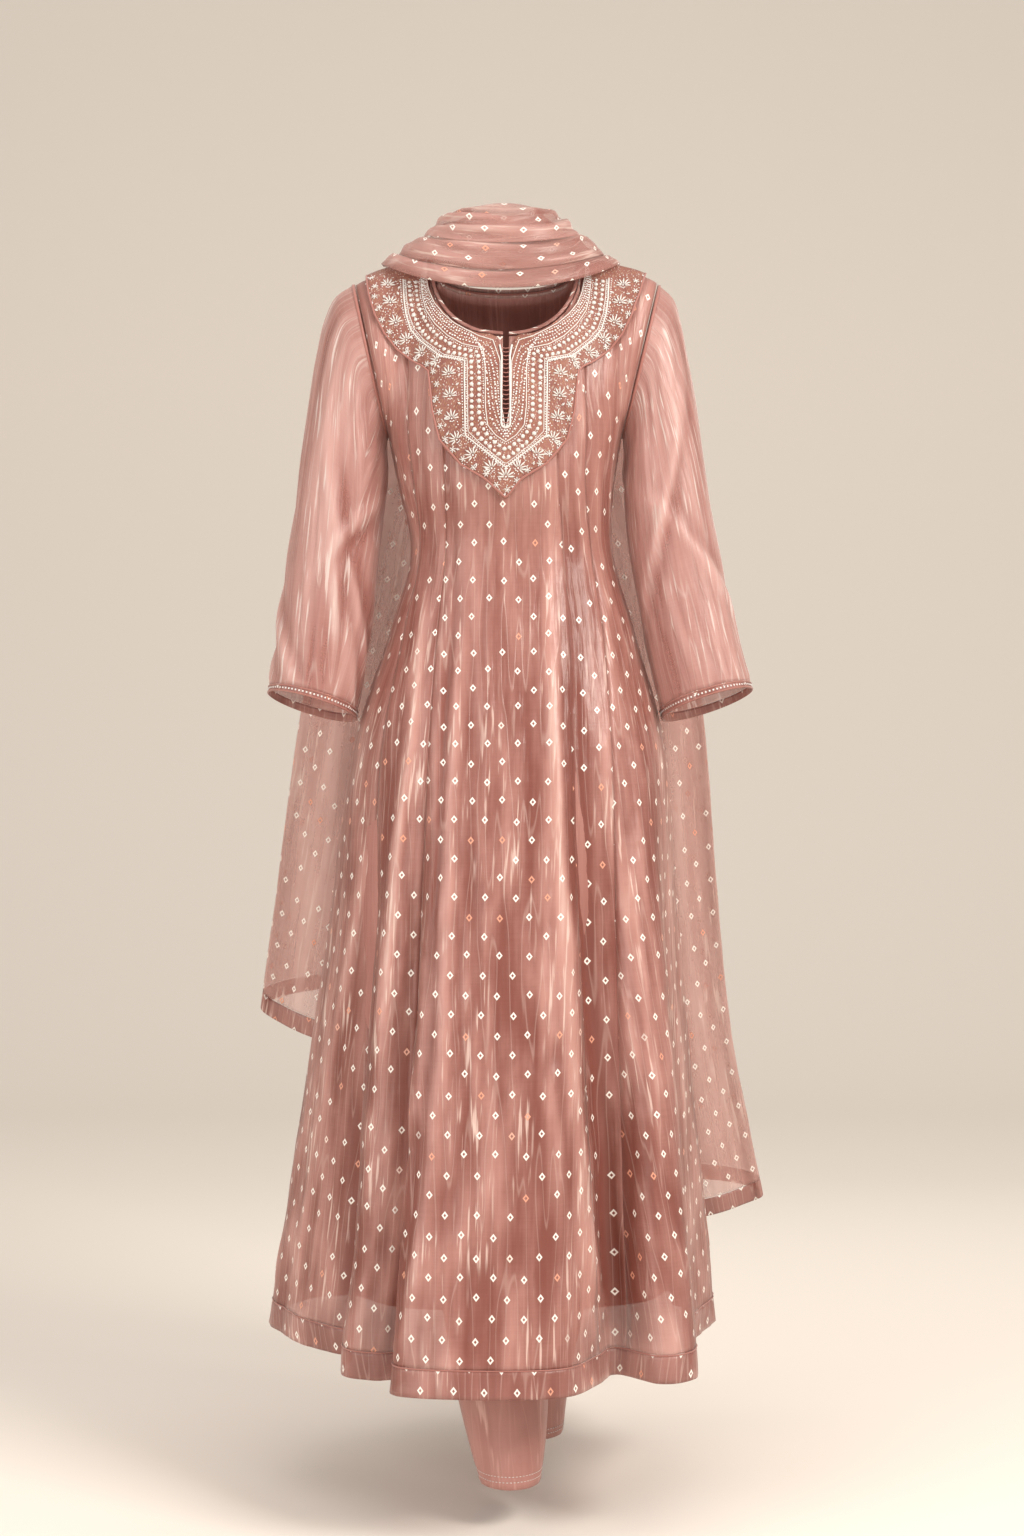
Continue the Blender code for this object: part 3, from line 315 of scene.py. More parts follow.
# %% The outer grid of a wall
def grid_of(name, inside, rows=None):
    """The outer points of a CAD wall as rows (downwards) and columns (left to right seen from outside)."""
    points, skins = skins_of(name)
    lean = []
    for faces in skins:
        corners = points[faces]
        normal = np.cross(corners[:, 1] - corners[:, 0], corners[:, 2] - corners[:, 0])
        middle = corners.mean(axis=1)
        lean.append((normal * (middle - inside(middle))).sum())
    faces = skins[int(np.argmax(lean))]
    place, edge_ways, ring = numbered(faces)
    ways = sorted(set(edge_ways), key=edge_ways.count, reverse=True)
    if ring:
        along = ways[0]
        others = [w for w in ((1, 0), (0, 1), (1, 1), (1, -1)) if w != along and w != (-along[0], -along[1])]
        length = {w: [] for w in others}
        at = {p: v for v, p in place.items()}
        for v, p in place.items():
            for w in others:
                end = at.get((p[0] + w[0], p[1] + w[1]))
                if end is not None:
                    length[w].append(np.linalg.norm(points[v] - points[end]))
        linked = [w for w in others if len(length[w]) > 0.4 * len(place)]
        down = min(linked, key=lambda w: np.mean(length[w]))
    else:
        along, down = ways[:2]
    turn = np.linalg.inv(np.array([along, down], float).T)
    where = {v: np.round(turn @ np.array(p)).astype(int) for v, p in place.items()}
    if ring:
        around = abs(int(np.round(turn @ np.array(ring[0], float))[0]))
        where = {v: np.array((p[0] % around, p[1])) for v, p in where.items()}
    least = np.min(list(where.values()), axis=0)
    size = np.max(list(where.values()), axis=0) - least + 1
    grid = np.full((size[1], size[0], 3), np.nan)
    for v, p in where.items():
        grid[p[1] - least[1], p[0] - least[0]] = points[v]
    if not ring:
        fall = [abs(np.nanmean(last[:, 2]) - np.nanmean(first[:, 2]))
                for last, first in ((grid[-1], grid[0]), (grid[:, -1], grid[:, 0]))]
        square = len(grid) == grid.shape[1]
        if (rows and len(grid) != rows) or ((square or not rows) and fall[1] > fall[0]):
            grid = grid.swapaxes(0, 1)
    if np.nanmean(grid[0, :, 2]) < np.nanmean(grid[-1, :, 2]):
        grid = grid[::-1]
    middle = [len(grid) // 2, grid.shape[1] // 2]
    here = grid[middle[0] - 1 : middle[0] + 1, middle[1] - 1 : middle[1] + 1]
    out = np.cross(here[0, 1] - here[0, 0], here[0, 0] - here[1, 0])
    if np.dot(out, here[0, 0] - inside(here[0, 0][None])[0]) < 0:
        grid = grid[:, ::-1]
    if ring:
        grid = np.concatenate([grid, grid[:, :1]], axis=1)
    return grid


print("front_centre is a grid of", grid_of("front_centre", BODY_LINE).shape[:2], "points")

# %% [markdown]
# ## Smooth curves through the form
# The form's grid is coarse. A subdivision surface would round its folds off and pull neighbouring panels
# apart at their seams, so the grid is filled in along smooth curves that pass through every one of its
# points, first across and then down. Two panels that share a seam still share it.

# %% Smooth curves through the form
def steps_of(lengths, cell):
    """How many cells each stretch of the form is divided into."""
    return [max(1, int(round(length / cell))) for length in lengths]


def smooth_along(points, steps, closed=False):
    """Points (lines x stops x 3) filled in along axis 1 on curves through every stop."""
    chord = np.linalg.norm(np.diff(points, axis=1), axis=2)[..., None] + 1e-9
    slope = np.diff(points, axis=1) / chord
    tangent = np.empty_like(points)
    tangent[:, 0], tangent[:, -1] = slope[:, 0], slope[:, -1]
    if closed:
        first, last = chord[:, 0], chord[:, -1]
        tangent[:, 0] = (first * slope[:, -1] + last * slope[:, 0]) / (first + last)
        tangent[:, -1] = tangent[:, 0]
    before, after = chord[:, :-1], chord[:, 1:]
    tangent[:, 1:-1] = (after * slope[:, :-1] + before * slope[:, 1:]) / (before + after)
    filled = []
    for k, count in enumerate(steps):
        for i in range(count):
            t = i / count
            h = chord[:, k]
            filled.append((1 + 2 * t) * (1 - t) ** 2 * points[:, k] + t * (1 - t) ** 2 * h * tangent[:, k]
                          + t * t * (3 - 2 * t) * points[:, k + 1] - t * t * (1 - t) * h * tangent[:, k + 1])
    filled.append(points[:, -1])
    return np.stack(filled, axis=1)


def normals_of(grid, closed=False):
    """Outward normals of a grid of points."""
    along = np.gradient(grid, axis=1)
    if closed:
        along[:, 0] = along[:, -1] = (grid[:, 1] - grid[:, -2]) / 2
    normal = np.cross(along, -np.gradient(grid, axis=0))
    return normal / (np.linalg.norm(normal, axis=-1, keepdims=True) + 1e-12)


def fine_grid(grid, cell):
    """A form's grid filled in to cells of about one size, and its steps across and down."""
    closed = bool(np.allclose(grid[:, 0], grid[:, -1]))
    across = steps_of(np.linalg.norm(np.diff(grid, axis=1), axis=2).mean(axis=0), cell)
    down = steps_of(np.linalg.norm(np.diff(grid, axis=0), axis=2).mean(axis=1), cell)
    wide = smooth_along(grid, across, closed)
    return smooth_along(wide.swapaxes(0, 1), down).swapaxes(0, 1), across, down


filled_in = fine_grid(grid_of("front_centre", BODY_LINE), 0.0055)[0]
print("front_centre is filled in to", filled_in.shape[:2], "points")

# %% [markdown]
# ## A sheet of cloth
# A sheet keeps its fine points, the way out at each, and its distances across and down in metres of real
# cloth. Those distances become its UV map, and so the dyed dots keep their size where the skirt flares.
# They also give the flat size that it was cut to.

# %% A sheet of cloth
class Sheet:
    """The fine points of one sheet of cloth, with its distances across and down in metres."""

    def __init__(self, points, normals=None):
        self.closed = bool(np.allclose(points[:, 0], points[:, -1]))
        self.points = points
        self.normals = normals_of(points, self.closed) if normals is None else normals
        width = np.linalg.norm(np.diff(points, axis=1), axis=2)
        height = np.linalg.norm(np.diff(points, axis=0), axis=2)
        self.u = np.concatenate([np.zeros((len(points), 1)), width.cumsum(axis=1)], axis=1)
        self.u -= self.u[:, self.u.shape[1] // 2][:, None]
        self.v = np.concatenate([np.zeros((1, points.shape[1])), height.cumsum(axis=0)], axis=0)
        self.v = self.v.mean(axis=1, keepdims=True) + 0 * self.v
        self.width = float(width.sum(axis=1).max())
        self.length = float(height.sum(axis=0).max())
        self.area = float((0.25 * (width[:-1] + width[1:]) * (height[:, :-1] + height[:, 1:])).sum())
        self.slit = None
        self.lift = np.zeros(points.shape[:2])

    def shares(self):
        """How far each point is across and down, from 0 to 1."""
        rows, columns = self.points.shape[:2]
        return np.meshgrid(np.linspace(0, 1, columns), np.linspace(0, 1, rows))

    def push(self, height):
        """Moves the sheet out along its normals, in metres."""
        if self.closed:
            height = height.copy()
            height[:, -1] = height[:, 0]
        self.lift = self.lift + height
        self.points = self.points + height[..., None] * self.normals


def sheet_on(node, inside, rows=None, cell=0.0055):
    """One sheet on the form of a CAD node."""
    return Sheet(fine_grid(grid_of(node, inside, rows), cell)[0])


trial = sheet_on("front_centre", BODY_LINE)
print("front_centre is", round(trial.width, 3), "m wide at most and", round(trial.length, 3), "m long")

# %% [markdown]
# ## Laying a sheet out
# The mesh of a sheet is a flat grid, made by one operator and then moved point by point onto the form.
# Its thickness is a Solidify modifier that grows inwards, so the visible side keeps its place.

# %% Laying a sheet out
# the fold height is also painted into the cloth's colour as shade and light, spread over this range
FOLD_RANGE = 0.009  # from the deepest trough to the highest ridge, in metres
SINGLE_CLOTH, DOUBLED_CLOTH, DENSE_SILK = 0.0006, 0.0009, 0.0008  # thicknesses


def laid_out(sheet, name, material, node, thickness=SINGLE_CLOTH, lengthways=False):
    """The sheet as an object: one grid, moved onto the form, with the cloth's thickness inwards.

    The warp runs down the sheet, or, where lengthways is set, along it. Each point's height over the form is
    kept as "fold", which the cloth's colour turns into painted shade in its troughs and painted light on
    its ridges.
    """
    rows, columns = sheet.points.shape[:2]
    mesh = bmesh.new()
    bmesh.ops.create_grid(mesh, x_segments=columns - 1, y_segments=rows - 1, size=0.5)
    uv = mesh.loops.layers.uv.new("cloth")
    fold = mesh.verts.layers.float.new("fold")
    place = {}
    for vert in mesh.verts:
        c = int(round((vert.co.x + 0.5) * (columns - 1)))
        r = int(round((0.5 - vert.co.y) * (rows - 1)))
        place[vert.index] = (r, c)
        vert.co = sheet.points[r, c]
        # the fold height, later painted as shade in troughs and light on ridges
        vert[fold] = float(np.clip(0.5 + sheet.lift[r, c] / FOLD_RANGE, 0, 1))
    for face in mesh.faces:
        for loop in face.loops:
            at = place[loop.vert.index]
            loop[uv].uv = (sheet.v[at], sheet.u[at]) if lengthways else (sheet.u[at], -sheet.v[at])
    if sheet.slit:
        first, count, last = sheet.slit
        in_slit = {index for index, (r, c) in place.items() if r <= last and first <= c <= first + count}
        open_faces = [face for face in mesh.faces if all(vert.index in in_slit for vert in face.verts)]
        bmesh.ops.delete(mesh, geom=open_faces, context="FACES")
    if sheet.closed:
        bmesh.ops.remove_doubles(mesh, verts=mesh.verts, dist=1e-5)
    data = bpy.data.meshes.new(name)
    mesh.to_mesh(data)
    mesh.free()
    data.materials.append(material)
    data.shade_smooth()
    piece = bpy.data.objects.new(name, data)
    scene.collection.objects.link(piece)
    wall = piece.modifiers.new("cloth thickness", "SOLIDIFY")
    wall.thickness = thickness
    wall.offset = -1.0
    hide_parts(node)
    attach(piece, "root")
    return piece


print("cloth is", 1000 * SINGLE_CLOTH, "mm thick, and", 1000 * DOUBLED_CLOTH, "mm where it is doubled")

# %% [markdown]
# ## Crinkles
# Crushed organza keeps small upright crinkles that wander and die out, and a few firm creases where the
# skirt folds. A cloth simulation gives round, sleepy folds that don't suit so stiff and light a cloth, so
# the creases are moved in by code: crisp little ridges whose spacing, height and length all vary, the
# same on both sides of a seam because they're worked out from the place of each point.

# %% Crinkles and ridges
def crinkles(across, down, pitch, height, seed, lean=0.0, count=8, crisp=0.6):
    """Uneven crinkles that run down the cloth: some are round waves and some are crisp ridges."""
    rng = np.random.default_rng(seed)
    total = np.zeros_like(across)
    for _ in range(count):
        size = pitch * rng.uniform(0.6, 2.0)
        wander = 0.35 * size * np.sin(2 * math.pi * (down / rng.uniform(0.15, 0.45) + rng.uniform()))
        patches = down / rng.uniform(0.22, 0.6) + across / rng.uniform(0.12, 0.33) + rng.uniform()
        shown = np.sin(2 * math.pi * patches)
        wave = 2 * math.pi * ((across + lean * down + wander) / size + rng.uniform())
        profile = np.sin(wave) if rng.uniform() > crisp else 1.0 - 2.0 * np.abs(np.sin(wave / 2)) ** 0.7
        total += rng.uniform(0.5, 1.0) * np.clip(0.35 + 0.65 * shown, 0, 1) * profile
    return height * total / math.sqrt(count)


def ridge(across, down, path, width, height):
    """One long crease along a path of (down, across) points; a height below zero makes it a trough."""
    path = np.array(sorted(path))
    centre = np.interp(down, path[:, 0], path[:, 1])
    low, high = path[0, 0], path[-1, 0]
    span = high - low
    fade = np.clip((down - low) / (0.12 * span), 0, 1) * np.clip((high - down) / (0.25 * span), 0, 1)
    return height * fade * np.exp(-(((across - centre) / width) ** 2))


BODY_RADIUS = 0.2


def around_body(points):
    """Distance round the body at its mean radius, and height, for points of the kameez."""
    return BODY_RADIUS * np.arctan2(points[..., 0], -points[..., 1]), points[..., 2]


def side_distance(sheet):
    """Each point's distance from the nearer side seam, in metres."""
    return np.minimum(sheet.u - sheet.u[:, :1], sheet.u[:, -1:] - sheet.u)


print("creases are worked out round a body of radius", BODY_RADIUS, "m")

# %% [markdown]
# ## The skirt's long creases
# A few firm creases run from the waist to the hem and make the skirt fall in columns. Each has its own
# path, width and height, because evenly spaced ones would look like pleats. Ridges and troughs lie side
# by side, as they do where cloth has been pressed.

# %% The skirt's long creases
FRONT_CREASES = (  # points (height, x) of each long crease in front, its width and its height, in metres
    (((-0.27, -0.0625), (-0.407, -0.0625), (-0.519, -0.0726), (-0.674, -0.0793), (-0.922, -0.088),
      (-1.059, -0.107), (-1.26, -0.130)), 0.0050, -0.0034),
    (((-0.30, -0.052), (-0.519, -0.060), (-0.674, -0.067), (-0.922, -0.076), (-1.26, -0.116)),
     0.0080, 0.0026),
    (((-0.27, 0.046), (-0.447, 0.050), (-0.674, 0.0566), (-0.827, 0.0667), (-1.059, 0.0835), (-1.26, 0.104)),
     0.0085, 0.0046),
    (((-0.30, 0.064), (-0.447, 0.068), (-0.674, 0.078), (-0.827, 0.090), (-1.059, 0.108), (-1.26, 0.124)),
     0.0110, -0.0052),
    (((-0.33, 0.110), (-0.447, 0.112), (-0.58, 0.118), (-0.80, 0.132), (-1.00, 0.146)), 0.0070, 0.0030),
    (((-0.30, -0.098), (-0.42, -0.100), (-0.56, -0.112), (-0.74, -0.132), (-0.96, -0.150)), 0.0080, 0.0038),
    (((-0.50, -0.124), (-0.648, -0.1375), (-0.763, -0.153), (-0.922, -0.161), (-1.125, -0.177),
      (-1.25, -0.190)), 0.0055, -0.0034),
    (((-0.66, -0.158), (-0.809, -0.1845), (-0.920, -0.206), (-1.059, -0.2316), (-1.24, -0.259)),
     0.0060, 0.0030),
    (((-0.52, 0.078), (-0.648, 0.081), (-0.777, 0.089), (-0.90, 0.094)), 0.0050, -0.0022),
    (((-0.90, 0.139), (-1.077, 0.1346), (-1.26, 0.130)), 0.0050, -0.0030),
    (((-0.62, 0.128), (-0.699, 0.1358), (-0.827, 0.1526), (-0.922, 0.1627), (-1.10, 0.183)), 0.0060, 0.0028),
    (((-0.66, 0.176), (-0.730, 0.1817), (-0.879, 0.197), (-1.05, 0.210)), 0.0060, 0.0024),
    (((-0.32, -0.020), (-0.60, -0.026), (-0.86, -0.030)), 0.0070, 0.0016),
    (((-0.36, 0.018), (-0.62, 0.022), (-0.97, 0.030), (-1.22, 0.044)), 0.0065, -0.0016),
)
BACK_CREASES = (  # the same for the back, which nothing presses flat
    (((-0.28, -0.070), (-0.52, -0.082), (-0.80, -0.104), (-1.24, -0.140)), 0.0055, -0.0032),
    (((-0.36, -0.050), (-0.62, -0.060), (-1.00, -0.080), (-1.24, -0.100)), 0.0080, 0.0026),
    (((-0.30, 0.000), (-0.66, 0.004), (-1.02, 0.010), (-1.24, 0.018)), 0.0070, 0.0024),
    (((-0.42, 0.022), (-0.74, 0.028), (-1.24, 0.046)), 0.0055, -0.0026),
    (((-0.28, 0.064), (-0.56, 0.076), (-0.90, 0.102), (-1.24, 0.134)), 0.0055, -0.0034),
    (((-0.50, 0.112), (-0.80, 0.140), (-1.24, 0.190)), 0.0070, 0.0028),
    (((-0.56, -0.120), (-0.86, -0.158), (-1.20, -0.202)), 0.0065, 0.0030),
)


def long_creases(points):
    """The skirt's firm creases, each followed down its own path."""
    total = np.zeros(points.shape[:2])
    for front, creases in ((True, FRONT_CREASES), (False, BACK_CREASES)):
        side = (points[..., 1] < 0) == front
        for path, width, height in creases:
            total += side * ridge(points[..., 0], points[..., 2], path, width, height)
    return total


def skirt_creases(points):
    """The kameez's creases: fine above the waist, longer and deeper down the skirt, on every side."""
    across, height = around_body(points)
    low = np.clip((-0.30 - height) / 0.55, 0, 1)
    hem = np.clip((-0.90 - height) / 0.35, 0, 1)
    fine = crinkles(across, height, 0.011, 0.00034, 11, count=9)
    long = crinkles(across, height, 0.030, 0.0012, 12, count=8, crisp=0.75)
    broad = crinkles(across, height, 0.065, 0.0018, 13, count=6, crisp=0.3)
    puckers = sum(crinkles(across, height, 0.024, 0.00035, seed, lean=lean)
                  for seed, lean in ((14, 0.8), (15, -0.8)))
    return fine + puckers + long * (0.35 + 0.9 * low) + broad * (0.1 + low + 0.7 * hem) + long_creases(points)


firm = [abs(height) for *path, height in FRONT_CREASES + BACK_CREASES]
print("crinkles are 0.3 to 2 mm high, and", len(firm), "long creases up to", round(1000 * max(firm), 1), "mm")

# %% [markdown]
# ## The kameez panels
# Ten gored panels, five in front and five behind, are joined in long upright seams from the shoulder to
# the hem. Cut separately, their sheets would each round off at their own edges. So the five grids of a
# side are joined first, filled in and creased as one cloth, and then cut again at the seams, where each
# edge is pressed in a little. The front's middle panel keeps the short placket slit below the neckline.

# %% Kameez panels
FRONT = ("front_side_r", "front_mid_r", "front_centre", "front_mid_l", "front_side_l")
BACK = ("back_side_l", "back_mid_l", "back_centre", "back_mid_r", "back_side_r")
SLIT_EDGE_X = -0.007  # the slit's side on the wearer's right
SLIT_ROWS = 6
PANEL_ROWS = 14
KAMEEZ_CELL = 0.0058
SEAM_DEPTH, SEAM_HALF = 0.0009, 0.0045


def joined(names, rows, cell):
    """Neighbouring walls as one fine grid: points, normals, each wall's column range, and the slit."""
    grids = [grid_of(name, BODY_LINE, rows) for name in names]
    whole = grids[0]
    spans = [[0, whole.shape[1] - 1]]
    for grid in grids[1:]:
        open_seam = np.linalg.norm(whole[0, -1] - grid[0, 0]) > 0.003
        if open_seam:
            whole = np.concatenate([whole, grid], axis=1)
        else:
            seam = (whole[:, -1] + grid[:, 0]) / 2
            whole = np.concatenate([whole[:, :-1], seam[:, None], grid[:, 1:]], axis=1)
        spans.append([whole.shape[1] - grid.shape[1], whole.shape[1] - 1])
    points, across, down = fine_grid(whole, cell)
    ranges = [(sum(across[:a]), sum(across[:b])) for a, b in spans]
    column = int(np.argmin(abs(whole[0, :, 0] - SLIT_EDGE_X)))
    slit = (sum(across[:column]), across[column], sum(down[:SLIT_ROWS]))
    return points, normals_of(points), ranges, slit


def panels_of(names, rows, cell, height_of, seam_depth=SEAM_DEPTH):
    """The sheets of a garment's side, creased as one cloth and cut apart at their seams."""
    points, normals, ranges, slit = joined(names, rows, cell)
    lift = height_of(points)
    sheets = {}
    for name, (first, last) in zip(names, ranges):
        sheet = Sheet(points[:, first : last + 1], normals[:, first : last + 1])
        if first < slit[0] < last and name.startswith("front"):
            sheet.slit = (slit[0] - first, slit[1], slit[2])
        groove = np.exp(-((side_distance(sheet) / SEAM_HALF) ** 2))
        sheet.push(lift[:, first : last + 1] * (1 - 0.6 * groove) - seam_depth * groove)
        sheets[name] = sheet
    return sheets


def kameez_lift(points):
    """The panels' creases, less under the yoke, where the cloth is held flat by its embroidery."""
    side, face, height = points[..., 0], points[..., 1], points[..., 2]
    flat = np.clip((-0.02 - height) / 0.05, 0, 1)
    yoke = np.clip(1 - np.abs(side + 0.0035) / 0.10, 0, 1) * np.clip((height + 0.30) / 0.08, 0, 1)
    yoke = np.where(face < 0, yoke, 0)
    return skirt_creases(points) * flat * (1 - np.clip(2 * yoke, 0, 0.9))


print("panel seams are pressed in by", 1000 * SEAM_DEPTH, "mm")

# %% [markdown]
# ## The cloths
# The kameez and the scarf are silk organza: a plain weave of fine, gummy threads, sheer, springy and
# bright along its creases. The slip under it is a close satin and the trousers a duller silk. An image of
# the cloth would show one fold pattern again and again, so each cloth is worked out on its UV map in
# metres: streaks that run with the warp, slubs that run both ways, and painted highlights where threads
# catch the light as a fold turns away, beside the shader's own little sheen. A real organza thread is
# 0.1 mm thick, too fine to show, so the slubs are drawn about 2 mm wide.

#
# A material is a network of nodes, and most of these are sums and soft steps. Written one by one they would
# hide what is done, so they are listed as a recipe that one small function follows. MULTIPLY_ADD is first x
# second + third. RANGE carries its first input smoothly from the next two values to the last two, or to 0
# and 1. MIX goes from one colour to another.

# %% Recipes
def follow(tree, made, recipe):
    """Adds a recipe's nodes to what has been made: a line is a name, an operation and its inputs in order.

    An input is a number, a hex colour or the name of something made before. A name made twice stands for the
    later one.
    """
    for name, operation, *values in recipe:
        for place, value in enumerate(values):
            if isinstance(value, str):
                values[place] = srgb(value) if value.startswith("#") else made[value]
        if operation == "MIX":
            inputs = dict(zip(("Factor", "A", "B"), values))
            made[name] = add_node(tree, "ShaderNodeMix", inputs, data_type="RGBA").outputs["Result"]
        elif operation == "RANGE":
            inputs = dict(enumerate(values))
            made[name] = add_node(tree, "ShaderNodeMapRange", inputs, interpolation_type="SMOOTHSTEP")
        else:
            made[name] = add_node(tree, "ShaderNodeMath", dict(enumerate(values)), operation=operation)


print("a recipe line reads: name, operation, inputs")

# %% [markdown]
# ## Woven silk
# Each silk mixes a light and a deep tone by soft patches, streaks along the warp and the height of the
# fold, so troughs get painted shade and ridges painted light. Painted glints follow the warp: short bright
# threads where light would catch, and thin bright crests where the streaks turn. A bump of a few tenths of
# a millimetre carries the slubs. The IOR stays at the shader's 1.5, which is about silk's own.

# %% Woven silk
SILK_RECIPE = (
    ("slubs", "MULTIPLY_ADD", "weft", 1.0, "warp"),
    ("streaked", "MULTIPLY_ADD", "folds", 0.45, "soft"),
    ("uneven", "MULTIPLY_ADD", "slubs", 0.08, "streaked"),
    # the fold height darkens troughs and lightens ridges: painted shade and painted light over the random
    # tone
    ("folded", "MULTIPLY_ADD", "fold", 0.85, "uneven"),
    ("tone and painted fold shade", "RANGE", "folded", 0.85, 1.62),
    # a thin bright crest line where the wander noise crosses its middle: a painted highlight, also a faint
    # bump
    ("rise", "RANGE", "wander", 0.478, 0.5),
    ("drop", "RANGE", "wander", 0.5, 0.522, 1.0, 0.0),
    ("crest", "MULTIPLY", "rise", "drop"),
    # short glinting threads on patches that grow on the high folds: painted highlights
    ("thread glint", "RANGE", "threads", 0.53, 0.70),
    ("lifted patch", "MULTIPLY_ADD", "fold", 0.6, "patches"),
    ("glint patch", "RANGE", "lifted patch", 0.62, 0.95),
    ("shine", "MULTIPLY", "thread glint", "glint patch"),
    # a glow on the highest ridges: a painted highlight
    ("high fold", "RANGE", "fold", 0.66, 0.95),
    ("high streak", "RANGE", "folds", 0.35, 0.60),
    ("glow", "MULTIPLY", "high fold", "high streak"),
    # how far the colour goes to the glint colour, the painted highlight
    ("lit", "RANGE", "shine", 0.0, 1.0, 0.0, 0.85),
    ("lit", "MULTIPLY_ADD", "crest", 0.20, "lit"),
    ("lit", "MULTIPLY_ADD", "glow", 0.45, "lit"),
    ("colour", "MIX", "tone and painted fold shade", "deep", "light"),
    ("colour", "MIX", "lit", "colour", "glint"),
    ("height", "MULTIPLY_ADD", "slubs", 0.08, "folds"),
    ("height", "MULTIPLY_ADD", "crest", 0.10, "height"),
)


def silk(name, light, deep, roughness, sheen, alpha=1.0, glint="#F6D8CC", streak=0.010):
    """A woven silk on the piece's cloth UV map: its material, tree and shader, and what its recipe made."""
    # Its colour carries painted shade in the folds' troughs and painted highlights in the glint colour.
    material, tree, shader = new_material(name)
    set_inputs(shader, {"Roughness": roughness, "Sheen Weight": sheen, "Sheen Roughness": 0.35,
                        "Sheen Tint": srgb("#F3CFC6"), "Alpha": alpha})
    made = {"light": srgb(light), "deep": srgb(deep), "glint": srgb(glint), "alpha": alpha}
    made["place"] = add_node(tree, "ShaderNodeUVMap", uv_map="cloth")
    # the fold height, painted as shade in troughs and light on ridges
    made["fold"] = add_node(tree, "ShaderNodeAttribute", attribute_name="fold").outputs["Fac"]
    noises = {  # size across and along the cloth, in metres, and detail
        "folds": (streak, 0.14, 3.0), "warp": (0.0022, 0.05, 2.0), "weft": (0.05, 0.0022, 2.0),
        "soft": (0.05, 0.30, 2.0), "patches": (0.05, 0.16, 2.0), "wander": (1.6 * streak, 0.20, 0.5),
        "threads": (0.45 * streak, 0.075, 2.0),
    }
    for part, (across, along, detail) in noises.items():
        scale = (1 / across, 1 / along, 1.0)
        stretched = add_node(tree, "ShaderNodeMapping", {"Vector": made["place"], "Scale": scale})
        grains = {"Vector": stretched, "Scale": 1.0, "Detail": detail}
        made[part] = add_node(tree, "ShaderNodeTexNoise", grains)
    follow(tree, made, SILK_RECIPE)
    return material, tree, shader, made


def finished(material, tree, shader, made, bump=0.5):
    """Joins what was made last as colour and height to the shader, and gives the material."""
    relief = {"Height": made["height"], "Distance": 0.004, "Strength": bump}
    tree.links.new(add_node(tree, "ShaderNodeBump", relief).outputs["Normal"], shader.inputs["Normal"])
    tree.links.new(made["colour"], shader.inputs["Base Color"])
    return material


# each glint colour is the painted highlight of its cloth
sleeve_silk = silk("plain silk organza", "#E6B7AE", "#A6685D", 0.36, 0.35, 0.52, glint="#FDEDE6")
sleeve_organza = finished(*sleeve_silk, bump=0.8)
slip_satin = finished(*silk("slip satin", "#B68177", "#965F55", 0.42, 0.15, glint="#C08B80"))
dupion = silk("dupion silk", "#C08C83", "#A46E64", 0.48, 0.25, glint="#D0A297", streak=0.016)
trouser_silk = finished(*dupion, bump=0.25)
print("cloths:", sleeve_organza.name, slip_satin.name, trouser_silk.name)

# %% [markdown]
# ## Bandhani dots
# Bandhani is tie-dyeing: pinches of cloth are bound with thread before the dye bath, and each leaves a
# small pale diamond with a dyed heart, a little different from its neighbours. They sit on a staggered
# lattice. Painting them one by one, or an image, would fix their number; a cell pattern whose
# corner-to-corner distance is a diamond gives them from one node, with its own random value for each knot
# to tint a few orange and leave a few out.

# %% Bandhani dots
KNOT_PITCH = (0.035, 0.044)  # across and along the cloth, in metres
KNOT_EDGE, KNOT_HEART = 0.108, 0.044  # half a diamond and half its heart, as shares of the pattern's cell


KNOT_RECIPE = (
    ("diamond", "RANGE", "knots", KNOT_EDGE * 0.86, KNOT_EDGE * 1.08, 1.0, 0.0),
    ("open heart", "RANGE", "knots", KNOT_HEART * 0.8, KNOT_HEART * 1.3),
    ("not left out", "RANGE", "green", 0.10, 0.12),
    ("ring", "MULTIPLY", "diamond", "open heart"),
    ("ring", "MULTIPLY", "ring", "not left out"),
    ("orange", "RANGE", "red", 0.89, 0.91, 0.0, 0.85),
    ("dye", "MIX", "orange", "#FDF7EE", "#DD8A66"),
    ("colour", "MIX", "ring", "colour", "dye"),
    ("pucker", "RANGE", "knots", 0.05, 0.42, 1.0, 0.0),
    ("height", "MULTIPLY_ADD", "pucker", 0.22, "height"),
    ("cover", "RANGE", "ring", 0.0, 1.0, "alpha", 0.95),
)


def bandhani(name, light, deep, alpha):
    """Silk organza with tie-dyed dots."""
    material, tree, shader, made = silk(name, light, deep, 0.34, 0.40, alpha)
    scale = [math.sqrt(2) / pitch for pitch in KNOT_PITCH]
    lattice = {"Vector": made["place"], "Rotation": (0, 0, math.pi / 4), "Scale": (*scale, 1.0)}
    cells = {"Vector": add_node(tree, "ShaderNodeMapping", lattice), "Scale": 1.0, "Randomness": 0.12}
    knots = add_node(tree, "ShaderNodeTexVoronoi", cells, voronoi_dimensions="2D", distance="CHEBYCHEV")
    chance = add_node(tree, "ShaderNodeSeparateColor", {"Color": knots.outputs["Color"]})
    made.update(knots=knots, red=chance.outputs["Red"], green=chance.outputs["Green"])
    follow(tree, made, KNOT_RECIPE)
    tree.links.new(made["cover"].outputs[0], shader.inputs["Alpha"])
    return finished(material, tree, shader, made)


